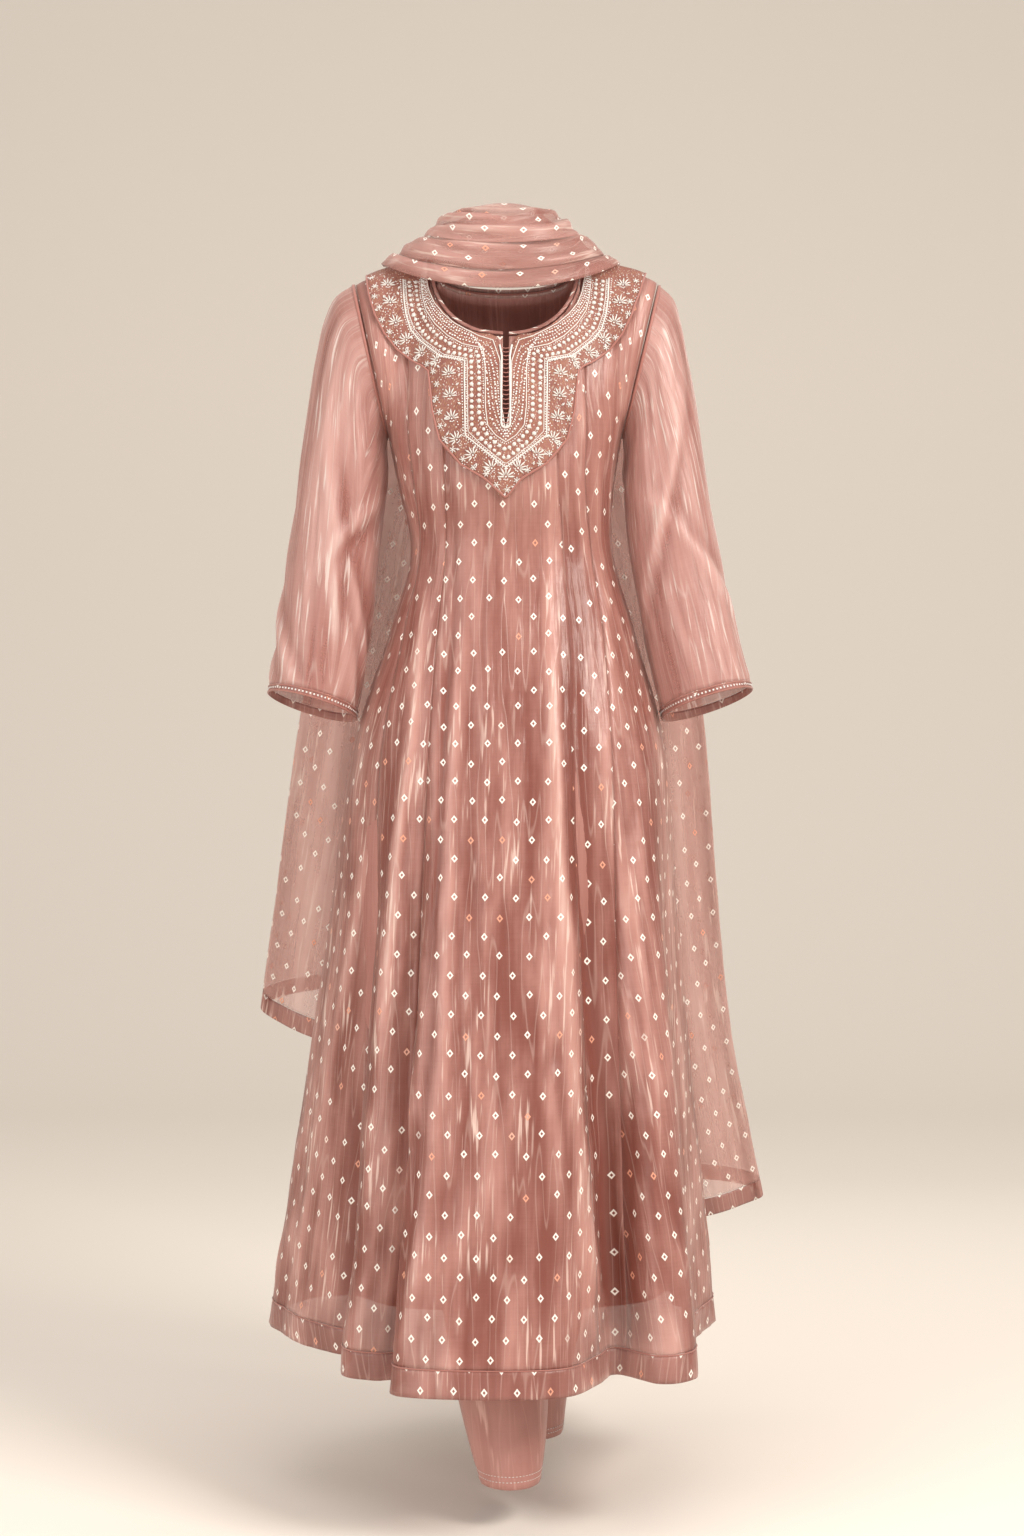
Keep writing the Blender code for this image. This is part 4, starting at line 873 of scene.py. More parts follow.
# these take the silk's default glint colour, a painted highlight
kameez_organza = bandhani("bandhani silk organza", "#D8A297", "#905449", 0.70)
border_organza = bandhani("doubled hem organza", "#BD857B", "#8E574D", 0.78)
sheer_organza = bandhani("single-layer scarf organza", "#EDC4BA", "#BE867B", 0.40)
scarf_organza = bandhani("bandhani scarf organza", "#D9A59B", "#A0665C", 0.46)
print("knots every", KNOT_PITCH[0] * 1000, "mm in staggered rows", KNOT_PITCH[1] * 500, "mm apart")

# %% [markdown]
# ## Sewing the kameez
# The ten panels take their cloth here. Each sheet is kept under its node's name, since the stitches, the
# beads and the sum of cloth at the end all come back to it.

# %% The ten panels
sheets, pieces = {}, {}


def sewn(name, sheet, prefix, cloth, thickness=SINGLE_CLOTH, lengthways=False):
    """Keeps a sheet under its node's name and lays it out."""
    sheets[name] = sheet
    pieces[name] = laid_out(sheet, prefix + name, cloth, name, thickness, lengthways)


def size_of(sheet):
    """A sheet's flat size in words."""
    return f"{sheet.width * 1000:.0f} x {sheet.length * 1000:.0f} mm"


for names in (FRONT, BACK):
    for name, sheet in panels_of(names, PANEL_ROWS, KAMEEZ_CELL, kameez_lift).items():
        sewn(name, sheet, "organza_", kameez_organza)
        print(name, "cut", size_of(sheet))

# %% [markdown]
# ## The hem bands
# The hem is a deep band of the same organza folded double, so it reads darker than the skirt. Its creases
# are worked out by the same function of place as the skirt's, and so they run on across the seam. A fine
# cord, laid further on, covers its top edge.

# %% Hem bands
def hem_lift(points):
    """The skirt's creases, a little stiffer where the cloth is doubled."""
    return 0.85 * skirt_creases(points)


for name in ("hem_band_front", "hem_band_back"):
    sheet = sheet_on(name, BODY_LINE, None, KAMEEZ_CELL)
    sheet.push(hem_lift(sheet.points))
    sewn(name, sheet, "organza_", border_organza)
    print(name, "cut", size_of(sheet))

# %% [markdown]
# ## The slip
# The slip is cut in seven gores, four of them in front so that the middle seam can stay open as the
# placket's slit. It hangs straight and calm inside the kameez, so it gets only faint waves. Being opaque,
# it is what makes the sheer kameez look solid down to the knee.

# %% Slip gores
SLIP_FRONT = ("lining_front_r", "lining_front_centre_r", "lining_front_centre_l", "lining_front_l")
SLIP_BACK = ("lining_back_l", "lining_back_centre", "lining_back_r")
SLIP_ROWS, SLIP_CELL, SLIP_SEAM = 13, 0.009, 0.0003


def slip_lift(points):
    """Faint upright waves."""
    across, height = around_body(points)
    return crinkles(across, height, 0.05, 0.0004, 21, count=5, crisp=0.1)


for names in (SLIP_FRONT, SLIP_BACK):
    for name, sheet in panels_of(names, SLIP_ROWS, SLIP_CELL, slip_lift, SLIP_SEAM).items():
        sewn(name, sheet, "satin_", slip_satin)
print("slip gores:", len(SLIP_FRONT + SLIP_BACK))

# %% [markdown]
# ## Sleeves and cuffs
# The sleeves are long, narrow and sheer. An arm has just come down in them, so they hold slanting drag
# creases that run from the elbow towards the cuff, over finer crinkles round the wrist.

# %% Sleeves and cuffs
SLEEVE_CELL, CUFF_CELL = 0.0052, 0.0035


def sleeve_lift(sheet, seed):
    """Long slanting drags, and close crinkles that grow towards the wrist."""
    rng = np.random.default_rng(seed)
    around = np.linspace(0, 1, sheet.points.shape[1])[None, :]
    down = sheet.v
    total = np.zeros_like(sheet.u)
    for _ in range(9):
        start, lean = rng.uniform(0, 1), rng.uniform(0.5, 2.2) * rng.choice((-1, 1))
        middle, reach = rng.uniform(0.08, down.max() - 0.04), rng.uniform(0.05, 0.14)
        offset = (around - start - lean * (down - middle) + 0.5) % 1 - 0.5
        shown = np.exp(-(((down - middle) / reach) ** 2))
        crest, hollow = np.exp(-((offset / 0.030) ** 2)), np.exp(-(((offset - 0.05) / 0.035) ** 2))
        total += rng.uniform(0.5, 1.0) * shown * (crest - 0.8 * hollow)
    fine = np.sin(2 * math.pi * 19 * around + 5 * np.sin(9 * down)) * np.clip(0.4 + np.sin(23 * down), 0, 1)
    ends = np.clip(down / 0.03, 0, 1) * np.clip((down.max() - down) / 0.012, 0, 1)
    return (0.0046 * total + 0.0005 * fine) * ends


for side, seed in (("r", 31), ("l", 32)):
    sheet = sheet_on("sleeve_" + side, SLEEVE_LINE[side], None, SLEEVE_CELL)
    sheet.push(sleeve_lift(sheet, seed))
    sewn("sleeve_" + side, sheet, "organza_", sleeve_organza)
    cuff = sheet_on("cuff_band_" + side, SLEEVE_LINE[side], None, CUFF_CELL)
    sewn("cuff_band_" + side, cuff, "organza_", border_organza, DOUBLED_CLOTH)
    print("sleeve", side, size_of(sheet), "and its cuff", size_of(cuff))

# %% [markdown]
# ## Trousers
# The trousers are plain and narrow, drawn in at the ankle, with a waistband that holds a cord. Two panels
# make a leg. The cloth is heavier than the organza, so its creases are fewer and rounder, and they gather
# at the knee.

# %% Trousers and waistband
LEG_ROWS, LEG_CELL, WAIST_CELL = 13, 0.0075, 0.006


def leg_lift(sheet, seed):
    """Soft drags across the back of the knee and above the ankle."""
    across, down = sheet.u, sheet.v
    knee = np.exp(-(((down - 0.55) / 0.16) ** 2)) + 0.8 * np.exp(-(((down - 0.98) / 0.12) ** 2))
    drags = crinkles(down + 0.35 * np.abs(across), across, 0.05, 0.0011, seed, count=6, crisp=0.2)
    plumb = crinkles(across, down, 0.04, 0.0007, seed + 1, count=5, crisp=0.4)
    fade = np.clip(side_distance(sheet) / 0.012, 0, 1) * np.clip((down.max() - down) / 0.01, 0, 1)
    return (drags * knee + plumb) * fade * np.clip(down / 0.05, 0, 1)


for side, seed in (("r", 41), ("l", 44)):
    for face in ("front", "back"):
        name = "trouser_" + face + "_" + side
        sheet = sheet_on(name, LEG_LINE[side], LEG_ROWS, LEG_CELL)
        sheet.push(leg_lift(sheet, seed + len(face)))
        sewn(name, sheet, "silk_", trouser_silk, DENSE_SILK)
sheet = sheet_on("waistband", BODY_LINE, None, WAIST_CELL)
sheet.push(0.0008 * np.sin(2 * math.pi * sheet.u / 0.014))  # gathers every 14 mm
sewn("waistband", sheet, "silk_", trouser_silk, 2 * SINGLE_CLOTH)
print("trouser panels cut", size_of(sheets["trouser_front_l"]), "and the waistband", size_of(sheet))

# %% [markdown]
# ## The scarf
# The dupatta is one long length of organza. It crosses under the chin in three gathered folds, goes round
# the nape, and both its ends fall behind the shoulders, each folded once along its length and finished by
# a plain band. Gathered cloth shows as many thin pleats that run with the fold, so the wraps get ridges
# along their length; the hanging ends get long soft pleats that fade towards the hem.

# %% Wraps round the neck
def line_through(node):
    """A line inside a hollow node, from the middle of its lowest points to the middle of its highest."""
    points = skins_of(node)[0]
    order = points[np.argsort(points[:, 2])]
    share = max(4, len(order) // 12)
    return line_inside(order[:share].mean(axis=0), order[-share:].mean(axis=0))


def pleat_lift(sheet, pleats, height, seed):
    """Thin pleats along the fold that wander, join and part."""
    rng = np.random.default_rng(seed)
    across, down = sheet.shares()
    total = np.zeros_like(across)
    for _ in range(5):
        count = pleats * rng.uniform(0.4, 1.3)
        slant = rng.uniform(-1.6, 1.6) / pleats
        wander = 0.3 / count * np.sin(2 * math.pi * (across * rng.uniform(0.6, 1.6) + rng.uniform()))
        wave = 2 * math.pi * (count * (down + slant * across + wander) + rng.uniform())
        total += rng.uniform(0.5, 1) * np.sin(wave)
    fade = np.clip(down / 0.20, 0, 1) * np.clip((1 - down) / 0.20, 0, 1)
    fade = fade * np.clip(across / 0.12, 0, 1) * np.clip((1 - across) / 0.12, 0, 1)
    return height * total / math.sqrt(5) * fade


NAPE_TUCK = 0.011  # how far the nape's upper corners are tucked down behind the front wraps
WRAP_CELL, PLEAT_HEIGHT = 0.0042, 0.0024
WRAPS = (  # each wrap's node, its form's rows, its number of pleats and its seed
    ("dupatta_front_lower", 6, 1.8, 51), ("dupatta_front_middle", 7, 2.2, 52),
    ("dupatta_front_upper", 11, 2.8, 53), ("dupatta_nape", 9, 6, 54),
)
for name, rows, pleats, seed in WRAPS:
    sheet = sheet_on(name, BODY_LINE, rows, WRAP_CELL)
    if name == "dupatta_nape":
        across = sheet.shares()[0]
        corners = np.exp(-((across / 0.08) ** 2)) + np.exp(-(((1 - across) / 0.08) ** 2))
        sheet.points[..., 2] -= NAPE_TUCK * corners * np.clip((sheet.points[..., 2] - 0.055) / 0.025, 0, 1)
    sheet.push(pleat_lift(sheet, pleats, PLEAT_HEIGHT, seed))
    sewn(name, sheet, "organza_", scarf_organza, lengthways=True)
print("scarf wraps:", len(WRAPS))

# %% [markdown]
# ## The scarf's hanging ends
# Both ends of the scarf hang down behind the shoulders and finish in a narrow doubled band. Cloth that
# hangs by one gathered edge falls in long pleats, deep where it is held and softer lower down, so their
# height is made to fade towards the band.

# %% Hanging ends and their bands
END_ROWS = {"l": 8, "r": 7}
END_CELL, TAPE_ROWS, TAPE_CELL = 0.006, 2, 0.004


def end_lift(sheet, seed):
    """Long pleats down a hanging end, deep at the neck and spreading out towards its band."""
    fall = sheet.v / sheet.v.max()
    long = crinkles(sheet.u, sheet.v, 0.030, 0.0016, seed, count=7, crisp=0.6)
    fine = crinkles(sheet.u, sheet.v, 0.012, 0.0005, seed + 1, count=6)
    held = np.clip(sheet.v / 0.03, 0, 1)
    return (long * (1 - 0.5 * fall) + fine) * held * np.clip((sheet.v.max() - sheet.v) / 0.02, 0.15, 1)


for side, seed in (("l", 61), ("r", 63)):
    end, band = "dupatta_end_" + side, "dupatta_band_" + side
    sheet = sheet_on(end, line_through(end), END_ROWS[side], END_CELL)
    sheet.push(end_lift(sheet, seed))
    sewn(end, sheet, "organza_", sheer_organza)
    sewn(band, sheet_on(band, line_through(band), TAPE_ROWS, TAPE_CELL), "organza_", border_organza,
         DOUBLED_CLOTH)
    print("scarf end", side, size_of(sheet))

# %% [markdown]
# ## Materials of the trim
# The trim is glass beads, satin stitch and piping cord. At this size each needs only a colour and a
# roughness; the two threads also get a little sheen, the soft light along the edge of spun silk.

# %% Materials of the trim
def trim_material(name, colour, roughness, sheen=0.0):
    """A plain material for beads, satin stitch or cord; sheen is the soft edge light of silk thread."""
    material, _, shader = new_material(name)
    set_inputs(shader, {"Base Color": srgb(colour), "Roughness": roughness, "Sheen Weight": sheen})
    return material


bead_glass = trim_material("ivory glass beads", "#F1F0EE", 0.28)
petal_silk = trim_material("ivory satin stitch", "#E3DFDA", 0.5, 0.3)
rose_cord = trim_material("rose piping cord", "#A86C61", 0.45, 0.3)
print("trim:", bead_glass.name + ",", petal_silk.name, "and", rose_cord.name)

# %% [markdown]
# ## Beads
# The yoke is worked with glass seed beads and satin-stitched petals. Each bead could be a sphere object
# or an instance, but thousands of objects slow everything and instances don't export. So a small ball
# with twenty faces is stretched, turned and set at each place, in batches that are merged into one mesh.

# %% Beads
def trim_piece(mesh_data, name, material):
    """A trim mesh as a smooth object that rides with the garment."""
    mesh_data.materials.clear()
    mesh_data.materials.append(material)
    mesh_data.shade_smooth()
    piece = bpy.data.objects.new(name, mesh_data)
    scene.collection.objects.link(piece)
    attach(piece, "root")
    return piece


BATCH = 100  # beads made at a time, because adding to a large mesh is slow


def beads(name, places, material):
    """Small balls, each with its centre, its three axes and its three radii in metres."""
    whole = bmesh.new()
    for start in range(0, len(places), BATCH):
        batch = bmesh.new()
        for centre, axes, radii in places[start : start + BATCH]:
            rows = [[axes[k][i] * radii[k] for k in range(3)] + [centre[i]] for i in range(3)]
            matrix = Matrix([*rows, [0, 0, 0, 1]])
            bmesh.ops.create_icosphere(batch, subdivisions=1, radius=1.0, matrix=matrix)
        part = bpy.data.meshes.new("batch")
        batch.to_mesh(part)
        batch.free()
        whole.from_mesh(part)
        bpy.data.meshes.remove(part)
    bmesh.ops.recalc_face_normals(whole, faces=whole.faces)
    data = bpy.data.meshes.new(name)
    whole.to_mesh(data)
    whole.free()
    print(name, len(places), "beads")
    return trim_piece(data, name, material)


print("a bead is a ball with 20 faces, made", BATCH, "at a time")

# %% [markdown]
# ## Cords
# A couched cord or a piped seam is a round line along a path. Blender's curve with a round bevel makes
# that tube, and it is then turned into a mesh, because a curve has no faces of its own to export.

# %% Cords
def cord(name, paths, radius, material, closed=False):
    """A round cord along each path of points."""
    curve = bpy.data.curves.new(name, "CURVE")
    curve.dimensions = "3D"
    curve.bevel_depth = radius
    curve.bevel_resolution = 1
    for path in paths:
        line = curve.splines.new("POLY")
        line.points.add(len(path) - 1)
        weighted = np.concatenate([np.array(path), np.ones((len(path), 1))], axis=1)
        line.points.foreach_set("co", weighted.ravel())
        line.use_cyclic_u = closed
    maker = bpy.data.objects.new(name + "_curve", curve)
    scene.collection.objects.link(maker)
    bpy.context.view_layer.update()
    data = bpy.data.meshes.new_from_object(maker.evaluated_get(bpy.context.evaluated_depsgraph_get()))
    bpy.data.objects.remove(maker)
    print(name + ":", len(paths), "at", round(2000 * radius, 1), "mm, with", len(data.polygons), "faces")
    return trim_piece(data, name, material)


print("a cord is a path with a round bevel")

# %% [markdown]
# ## Finding a place on a sheet
# Trim has to lie on the finished folds. So a place is named by its shares across and down the sheet, and
# the sheet gives back the point there and its three directions: along the row, down the cloth and out of
# it.

# %% Finding a place on a sheet
class Surface:
    """Reads places, normals and directions on a laid sheet by its shares across and down."""

    def __init__(self, sheet):
        self.points, self.normals = sheet.points, normals_of(sheet.points, sheet.closed)
        self.rows, self.columns = sheet.points.shape[0] - 1, sheet.points.shape[1] - 1

    def read(self, field, across, down):
        """A field's value at a place between the sheet's points."""
        c, r = min(max(across, 0), 1) * self.columns, min(max(down, 0), 1) * self.rows
        i, j = min(int(c), self.columns - 1), min(int(r), self.rows - 1)
        c, r = c - i, r - j
        top = field[j, i] * (1 - c) + field[j, i + 1] * c
        return top * (1 - r) + (field[j + 1, i] * (1 - c) + field[j + 1, i + 1] * c) * r

    def at(self, across, down, lift=0.0):
        """A place above the sheet, and its axes: along, down and out."""
        out = self.read(self.normals, across, down)
        out = out / np.linalg.norm(out)
        along = self.read(self.points, across + 0.004, down) - self.read(self.points, across - 0.004, down)
        along = along - out * np.dot(along, out)
        along = along / np.linalg.norm(along)
        return self.read(self.points, across, down) + lift * out, (along, np.cross(along, -out), out)

    def row(self, down, first=0.0, last=1.0, step=0.004):
        """Shares along one row, evenly spaced in metres."""
        shares = np.linspace(first, last, 400)
        line = np.array([self.read(self.points, a, down) for a in shares])
        far = np.concatenate([[0], np.linalg.norm(np.diff(line, axis=0), axis=1).cumsum()])
        return np.interp(np.arange(step / 2, far[-1], step), far, shares)


hem = Surface(sheets["hem_band_front"])
print("middle of the front hem band:", [round(float(v), 3) for v in hem.at(0.5, 0.5)[0]])

# %% [markdown]
# ## Stitches, piping and cuffs
# Hems and cuffs are held by running stitches in pale thread. At this distance a stitch is a small bright
# oval, so each is one stretched bead, laid along its hem just above the cloth. The cuff is edged by two
# fine cords with a row of beads between them.

# %% Hem stitches and cuffs
def stitch_row(surface, down, step, length, width, first=0.0, last=1.0, lift=0.0003):
    """Stitches along one row of a sheet."""
    radii = (length / 2, width / 2, 0.0004)
    return [(*surface.at(a, down, lift), radii) for a in surface.row(down, first, last, step)]


stitches = []
for side in ("l", "r"):
    for face in ("front", "back"):
        sheet = sheets["trouser_" + face + "_" + side]
        for rise in (0.008, 0.014):  # two rows, 8 and 14 mm above the hem
            down = 1 - rise / sheet.length
            stitches += stitch_row(Surface(sheet), down, 0.0042, 0.0028, 0.0011, 0.01, 0.99)
beads("trouser_hem_stitches", stitches, petal_silk)

cuff_beads, cuff_lines = [], []
for side in ("l", "r"):
    surface = Surface(sheets["cuff_band_" + side])
    cuff_beads += stitch_row(surface, 0.5, 0.0045, 0.0026, 0.0026, lift=0.0008)
    for down in (0.12, 0.88):
        cuff_lines.append([surface.at(a, down, 0.0004)[0] for a in surface.row(down, step=0.003)])
beads("cuff_beads", cuff_beads, bead_glass)
cord("cuff_piping", cuff_lines, 0.0008, rose_cord, closed=True)

# %% [markdown]
# ## Armhole and hem seams
# Each sleeve is set into its armhole with a narrow corded seam, which also hides the joint between two
# cloths that fold different ways. A finer cord covers the seam between the skirt and its hem band.

# %% Armhole and hem cords
for side in ("l", "r"):
    surface = Surface(sheets["sleeve_" + side])
    head = [surface.at(a, 0.004, -0.0004)[0] for a in surface.row(0.004, step=0.006)]
    cord("armhole_cord_" + side, [head], 0.0019, rose_cord, closed=True)

hem_lines = []
for face in ("front", "back"):
    surface = Surface(sheets["hem_band_" + face])
    hem_lines.append([surface.at(a, 0.015, 0.0001)[0] for a in surface.row(0.015, step=0.004)])
cord("hem_piping", hem_lines, 0.0008, rose_cord)

# %% [markdown]
# ## The embroidered yoke
# The yoke is a shaped border round the neck and down the placket, worked on a ground of tiny gold-brown
# stitches. The ground could be an image, but a cell pattern about 2 mm across gives the same stipple at
# any distance. The neck's own edge is a narrow folded tape.

# %% Yoke ground and neck tape
YOKE_ROWS, YOKE_CELL = 6, 0.004
STITCH = 0.0021  # spacing of the ground's stitches, in metres


STITCH_RECIPE = (
    ("stitch", "RANGE", "stitches", 0.18, 0.42, 1.0, 0.0),
    ("pale", "RANGE", "red", 0.72, 0.80),
    ("thread", "MIX", "pale", "#A87858", "#DCCBBC"),
    ("not left out", "RANGE", "green", 0.30, 0.40),
    ("shown", "MULTIPLY", "stitch", "not left out"),
    ("colour", "MIX", "shown", "colour", "thread"),
    ("height", "MULTIPLY_ADD", "stitch", 0.35, "height"),
)


def yoke_ground():
    """Organza filled with tiny stitches in gold-brown and ivory, so that it reads as a fine stipple."""
    # its glint colour is a painted highlight
    stippled = silk("stippled yoke ground", "#A06A5E", "#80493F", 0.5, 0.2, glint="#A87262")
    material, tree, shader, made = stippled
    cells = {"Vector": made["place"], "Scale": 1 / STITCH}
    stitches = add_node(tree, "ShaderNodeTexVoronoi", cells, voronoi_dimensions="2D")
    chance = add_node(tree, "ShaderNodeSeparateColor", {"Color": stitches.outputs["Color"]})
    made.update(stitches=stitches, red=chance.outputs["Red"], green=chance.outputs["Green"])
    follow(tree, made, STITCH_RECIPE)
    return finished(material, tree, shader, made, bump=0.45)


yoke_sheet = sheet_on("yoke", BODY_LINE, YOKE_ROWS, YOKE_CELL)
neck_sheet = sheet_on("neck_binding", BODY_LINE, TAPE_ROWS, TAPE_CELL)
sheets.update({"yoke": yoke_sheet, "neck_binding": neck_sheet})
pieces["yoke"] = laid_out(yoke_sheet, "yoke_ground", yoke_ground(), "yoke", DENSE_SILK)
pieces["neck_binding"] = laid_out(neck_sheet, "neck_binding_organza", border_organza,
                                  "neck_binding", DENSE_SILK)
print("yoke border", size_of(yoke_sheet), "and neck tape", size_of(neck_sheet))

# %% [markdown]
# ## The seam behind the neck
# In front the yoke covers the joint between the neck's tape and the panels. Behind, a corded seam closes
# it: a cord of its own radius beyond the tape's outer edge, on the wearer's back only.

# %% Back neck seam
SEAM_RADIUS = 0.0017
neck_tape, neck_seam = Surface(neck_sheet), []
for across in neck_tape.row(0.95, step=0.003):
    inner, outer = (neck_tape.at(across, down)[0] for down in (0.5, 0.99))
    if outer[1] > 0.0:
        neck_seam.append(outer + SEAM_RADIUS * (outer - inner) / np.linalg.norm(outer - inner))
cord("neck_seam_cord", [neck_seam], SEAM_RADIUS, rose_cord)
print("neck seam at the back", len(neck_seam), "points")

# %% [markdown]
# ## Laying out the ornament
# A white cord runs round the neck, turns straight down beside the placket and closes in a point. Two such
# lines part the yoke into three bands: bead rows at the neck, then tiles, and fans, stars and sprigs
# outside the cord. Drawing the ornament flat and projecting it would stretch it at the shoulders. So each
# band has its own two directions, along it and across it from one edge to the other, and every bead is
# placed by those and then dropped onto the cloth. Only the two lines are given by points; what lies
# between them comes from spacings.

# %% The lines of the yoke
# Half of each line as (distance from the middle, height), and the stops of the yoke's form it passes, of 33
HALF_PANEL = ((0.122, -0.014), (0.1205, -0.040), (0.118, -0.060), (0.112, -0.080), (0.1015, -0.0935),
              (0.076, -0.116), (0.048, -0.122), (0.048, -0.142), (0.0475, -0.172), (0.047, -0.2103),
              (0.0315, -0.223), (0.0155, -0.236), (0.000, -0.2485))
HALF_MIDDLE = ((0.101, -0.014), (0.0985, -0.040), (0.094, -0.058), (0.083, -0.076), (0.068, -0.0915),
               (0.050, -0.1025), (0.026, -0.108), (0.024, -0.128), (0.024, -0.152), (0.024, -0.178),
               (0.0215, -0.200), (0.0120, -0.2115), (0.000, -0.219))
PANEL_STOPS = (0, 2, 4, 6, 8, 9, 10, 11, 12, 13, 14, 15, 16)
LAST_STOP = 32
SHARES = 321  # how many points each edge is filled in to
PANEL_MIDDLE = SLIT_EDGE_X / 2


def surface_tree(sheet):
    """A search tree of a sheet's faces."""
    rows, columns = sheet.points.shape[:2]
    faces = [(r * columns + c, (r + 1) * columns + c, (r + 1) * columns + c + 1, r * columns + c + 1)
             for r in range(rows - 1) for c in range(columns - 1)]
    return BVHTree.FromPolygons([tuple(p) for p in sheet.points.reshape(-1, 3)], faces)


yoke_tree = surface_tree(yoke_sheet)


def onto_yoke(point, lift):
    """The nearest place on the yoke, lifted off it, and the cloth's outward direction there."""
    near, normal = yoke_tree.find_nearest(Vector(point))[:2]
    out = np.array(normal) * (1 if normal[1] < 0 else -1)
    return np.array(near) + lift * out, out


def filled_path(stops, points):
    """A path through points at given stops, filled in evenly."""
    points = np.array(points, float)
    at = np.linspace(0, LAST_STOP, SHARES)
    return np.stack([np.interp(at, stops, points[:, k]) for k in range(points.shape[1])], axis=1)


def sheet_edge(row):
    """One edge of the yoke's form, filled in the same way."""
    return filled_path(np.arange(LAST_STOP + 1), grid_of("yoke", BODY_LINE, YOKE_ROWS)[row])


def drawn_edge(half):
    """A line drawn flat on one half, mirrored and carried back onto the yoke."""
    right = [(PANEL_MIDDLE - x, z) for x, z in half]
    left = [(PANEL_MIDDLE + x, z) for x, z in half[-2::-1]]
    stops = [*PANEL_STOPS, *(LAST_STOP - s for s in PANEL_STOPS[-2::-1])]
    line = []
    for x, z in filled_path(stops, right + left):
        hit = yoke_tree.ray_cast(Vector((x, -1.0, z)), Vector((0, 1, 0)))[0]
        line.append(hit if hit is not None else yoke_tree.find_nearest(Vector((x, -0.02, z)))[0])
    return np.array(line)


neck_edge, outline_edge = sheet_edge(0), sheet_edge(-1)
if neck_edge[0, 0] > 0:
    neck_edge, outline_edge = neck_edge[::-1], outline_edge[::-1]
middle_edge, panel_edge = drawn_edge(HALF_MIDDLE), drawn_edge(HALF_PANEL)
panel_length = sum(np.linalg.norm(np.diff(panel_edge, axis=0), axis=1))
print("panel line", round(1000 * float(panel_length)), "mm long")

# %% [markdown]
# ## The yoke's three bands
# A band gives any place on it by two shares, one along the whole border and one across from its inner edge
# to its outer one. Rows are spaced in metres, so that beads keep their distance where the border bends.

# %% The yoke's three bands
class Band:
    """A part of the yoke between two matched edges."""

    def __init__(self, near, far):
        self.near, self.far = near, far

    def flat(self, along, across):
        """A point between the edges; along is a share of the whole border."""
        at = min(max(along, 0), 1) * (SHARES - 1)
        i = min(int(at), SHARES - 2)
        near, far = (edge[i] * (1 - at + i) + edge[i + 1] * (at - i) for edge in (self.near, self.far))
        return near * (1 - across) + far * across

    def at(self, along, across, lift=0.0004):
        """A place on the cloth and its axes: along the border, across it and out."""
        place, out = onto_yoke(self.flat(along, across), lift)
        ahead = self.flat(along + 0.004, across) - self.flat(along - 0.004, across)
        ahead = ahead - out * np.dot(ahead, out)
        ahead = ahead / (np.linalg.norm(ahead) + 1e-9)
        return place, (ahead, np.cross(out, ahead), out)

    def row(self, across, step, first=0.0, last=1.0):
        """Shares along one row, evenly spaced in metres."""
        shares = np.linspace(first, last, 500)
        line = np.array([self.flat(a, across) for a in shares])
        far = np.concatenate([[0], np.linalg.norm(np.diff(line, axis=0), axis=1).cumsum()])
        return np.interp(np.arange(step / 2, far[-1], step), far, shares)


edges = (neck_edge, middle_edge, panel_edge, outline_edge)
fine_band, tile_band, outer_band = (Band(near, far) for near, far in zip(edges, edges[1:]))
for band, label in ((fine_band, "fine"), (tile_band, "tile"), (outer_band, "outer")):
    wide = np.linalg.norm(band.flat(0.25, 1) - band.flat(0.25, 0))
    print(label, "band", round(1000 * float(wide), 1), "mm wide")

# %% [markdown]
# ## Cords of the yoke
# Rose cord binds the yoke's outline, and white cords of silk part its bands. They are laid before the
# beads, as an embroiderer couches the outlines first and fills them afterwards.

# %% Cords of the yoke
YOKE_CORDS = (  # band, share across it, radius and material
    (outer_band, 0.975, 0.0013, rose_cord), (outer_band, 0.0, 0.0009, petal_silk),
    (fine_band, 0.98, 0.0006, petal_silk), (tile_band, 0.86, 0.0005, petal_silk),
    (fine_band, 0.10, 0.0006, petal_silk),
)
for number, (band, across, radius, material) in enumerate(YOKE_CORDS):
    path = [band.at(a, across, 0.4 * radius)[0] for a in band.row(across, 0.003, 0.002, 0.998)]
    cord("yoke_cord_" + str(number), [path], radius, material)

# %% [markdown]
# ## Rows of fine beads
# The band at the neck is filled with rows of beads in two sizes. Beads sewn by hand never sit quite in
# line or come out quite alike, so each has a little of its own place and length, drawn from a numbered
# start so that the rows come out the same each time.

# %% Rows of fine beads
rng = np.random.default_rng(7)
fine_rows = []
FINE_ROWS = (  # band, share across it and the beads' radius
    (fine_band, 0.26, 0.0009), (fine_band, 0.43, 0.0012), (fine_band, 0.61, 0.0009),
    (fine_band, 0.80, 0.0012), (tile_band, 0.10, 0.0008), (tile_band, 0.93, 0.0008),
)
for band, across, size in FINE_ROWS:
    for a in band.row(across, 2.6 * size + 0.0008, 0.004, 0.996):
        place, axes = band.at(a, across + rng.normal(0, 0.012), 0.3 * size)
        fine_rows.append((place, axes, (size * rng.uniform(0.8, 1.3), size, 0.7 * size)))
for a in outer_band.row(0.07, 0.0034, 0.004, 0.996):
    fine_rows.append((*outer_band.at(a, 0.07, 0.0003), (0.0009, 0.0009, 0.0007)))
beads("yoke_fine_rows", fine_rows, bead_glass)

# %% [markdown]
# ## Tiles
# The middle band is two rows of satin-stitched squares, every second one standing on its corner. A
# rounded pad is near enough to such a square: at this size the eye sees its turn and its spacing, not its
# corners.

# %% Tiles
def turned(axes, angle):
    """The same axes turned on the cloth."""
    along, down, out = axes
    c, s = math.cos(angle), math.sin(angle)
    return c * along + s * down, c * down - s * along, out


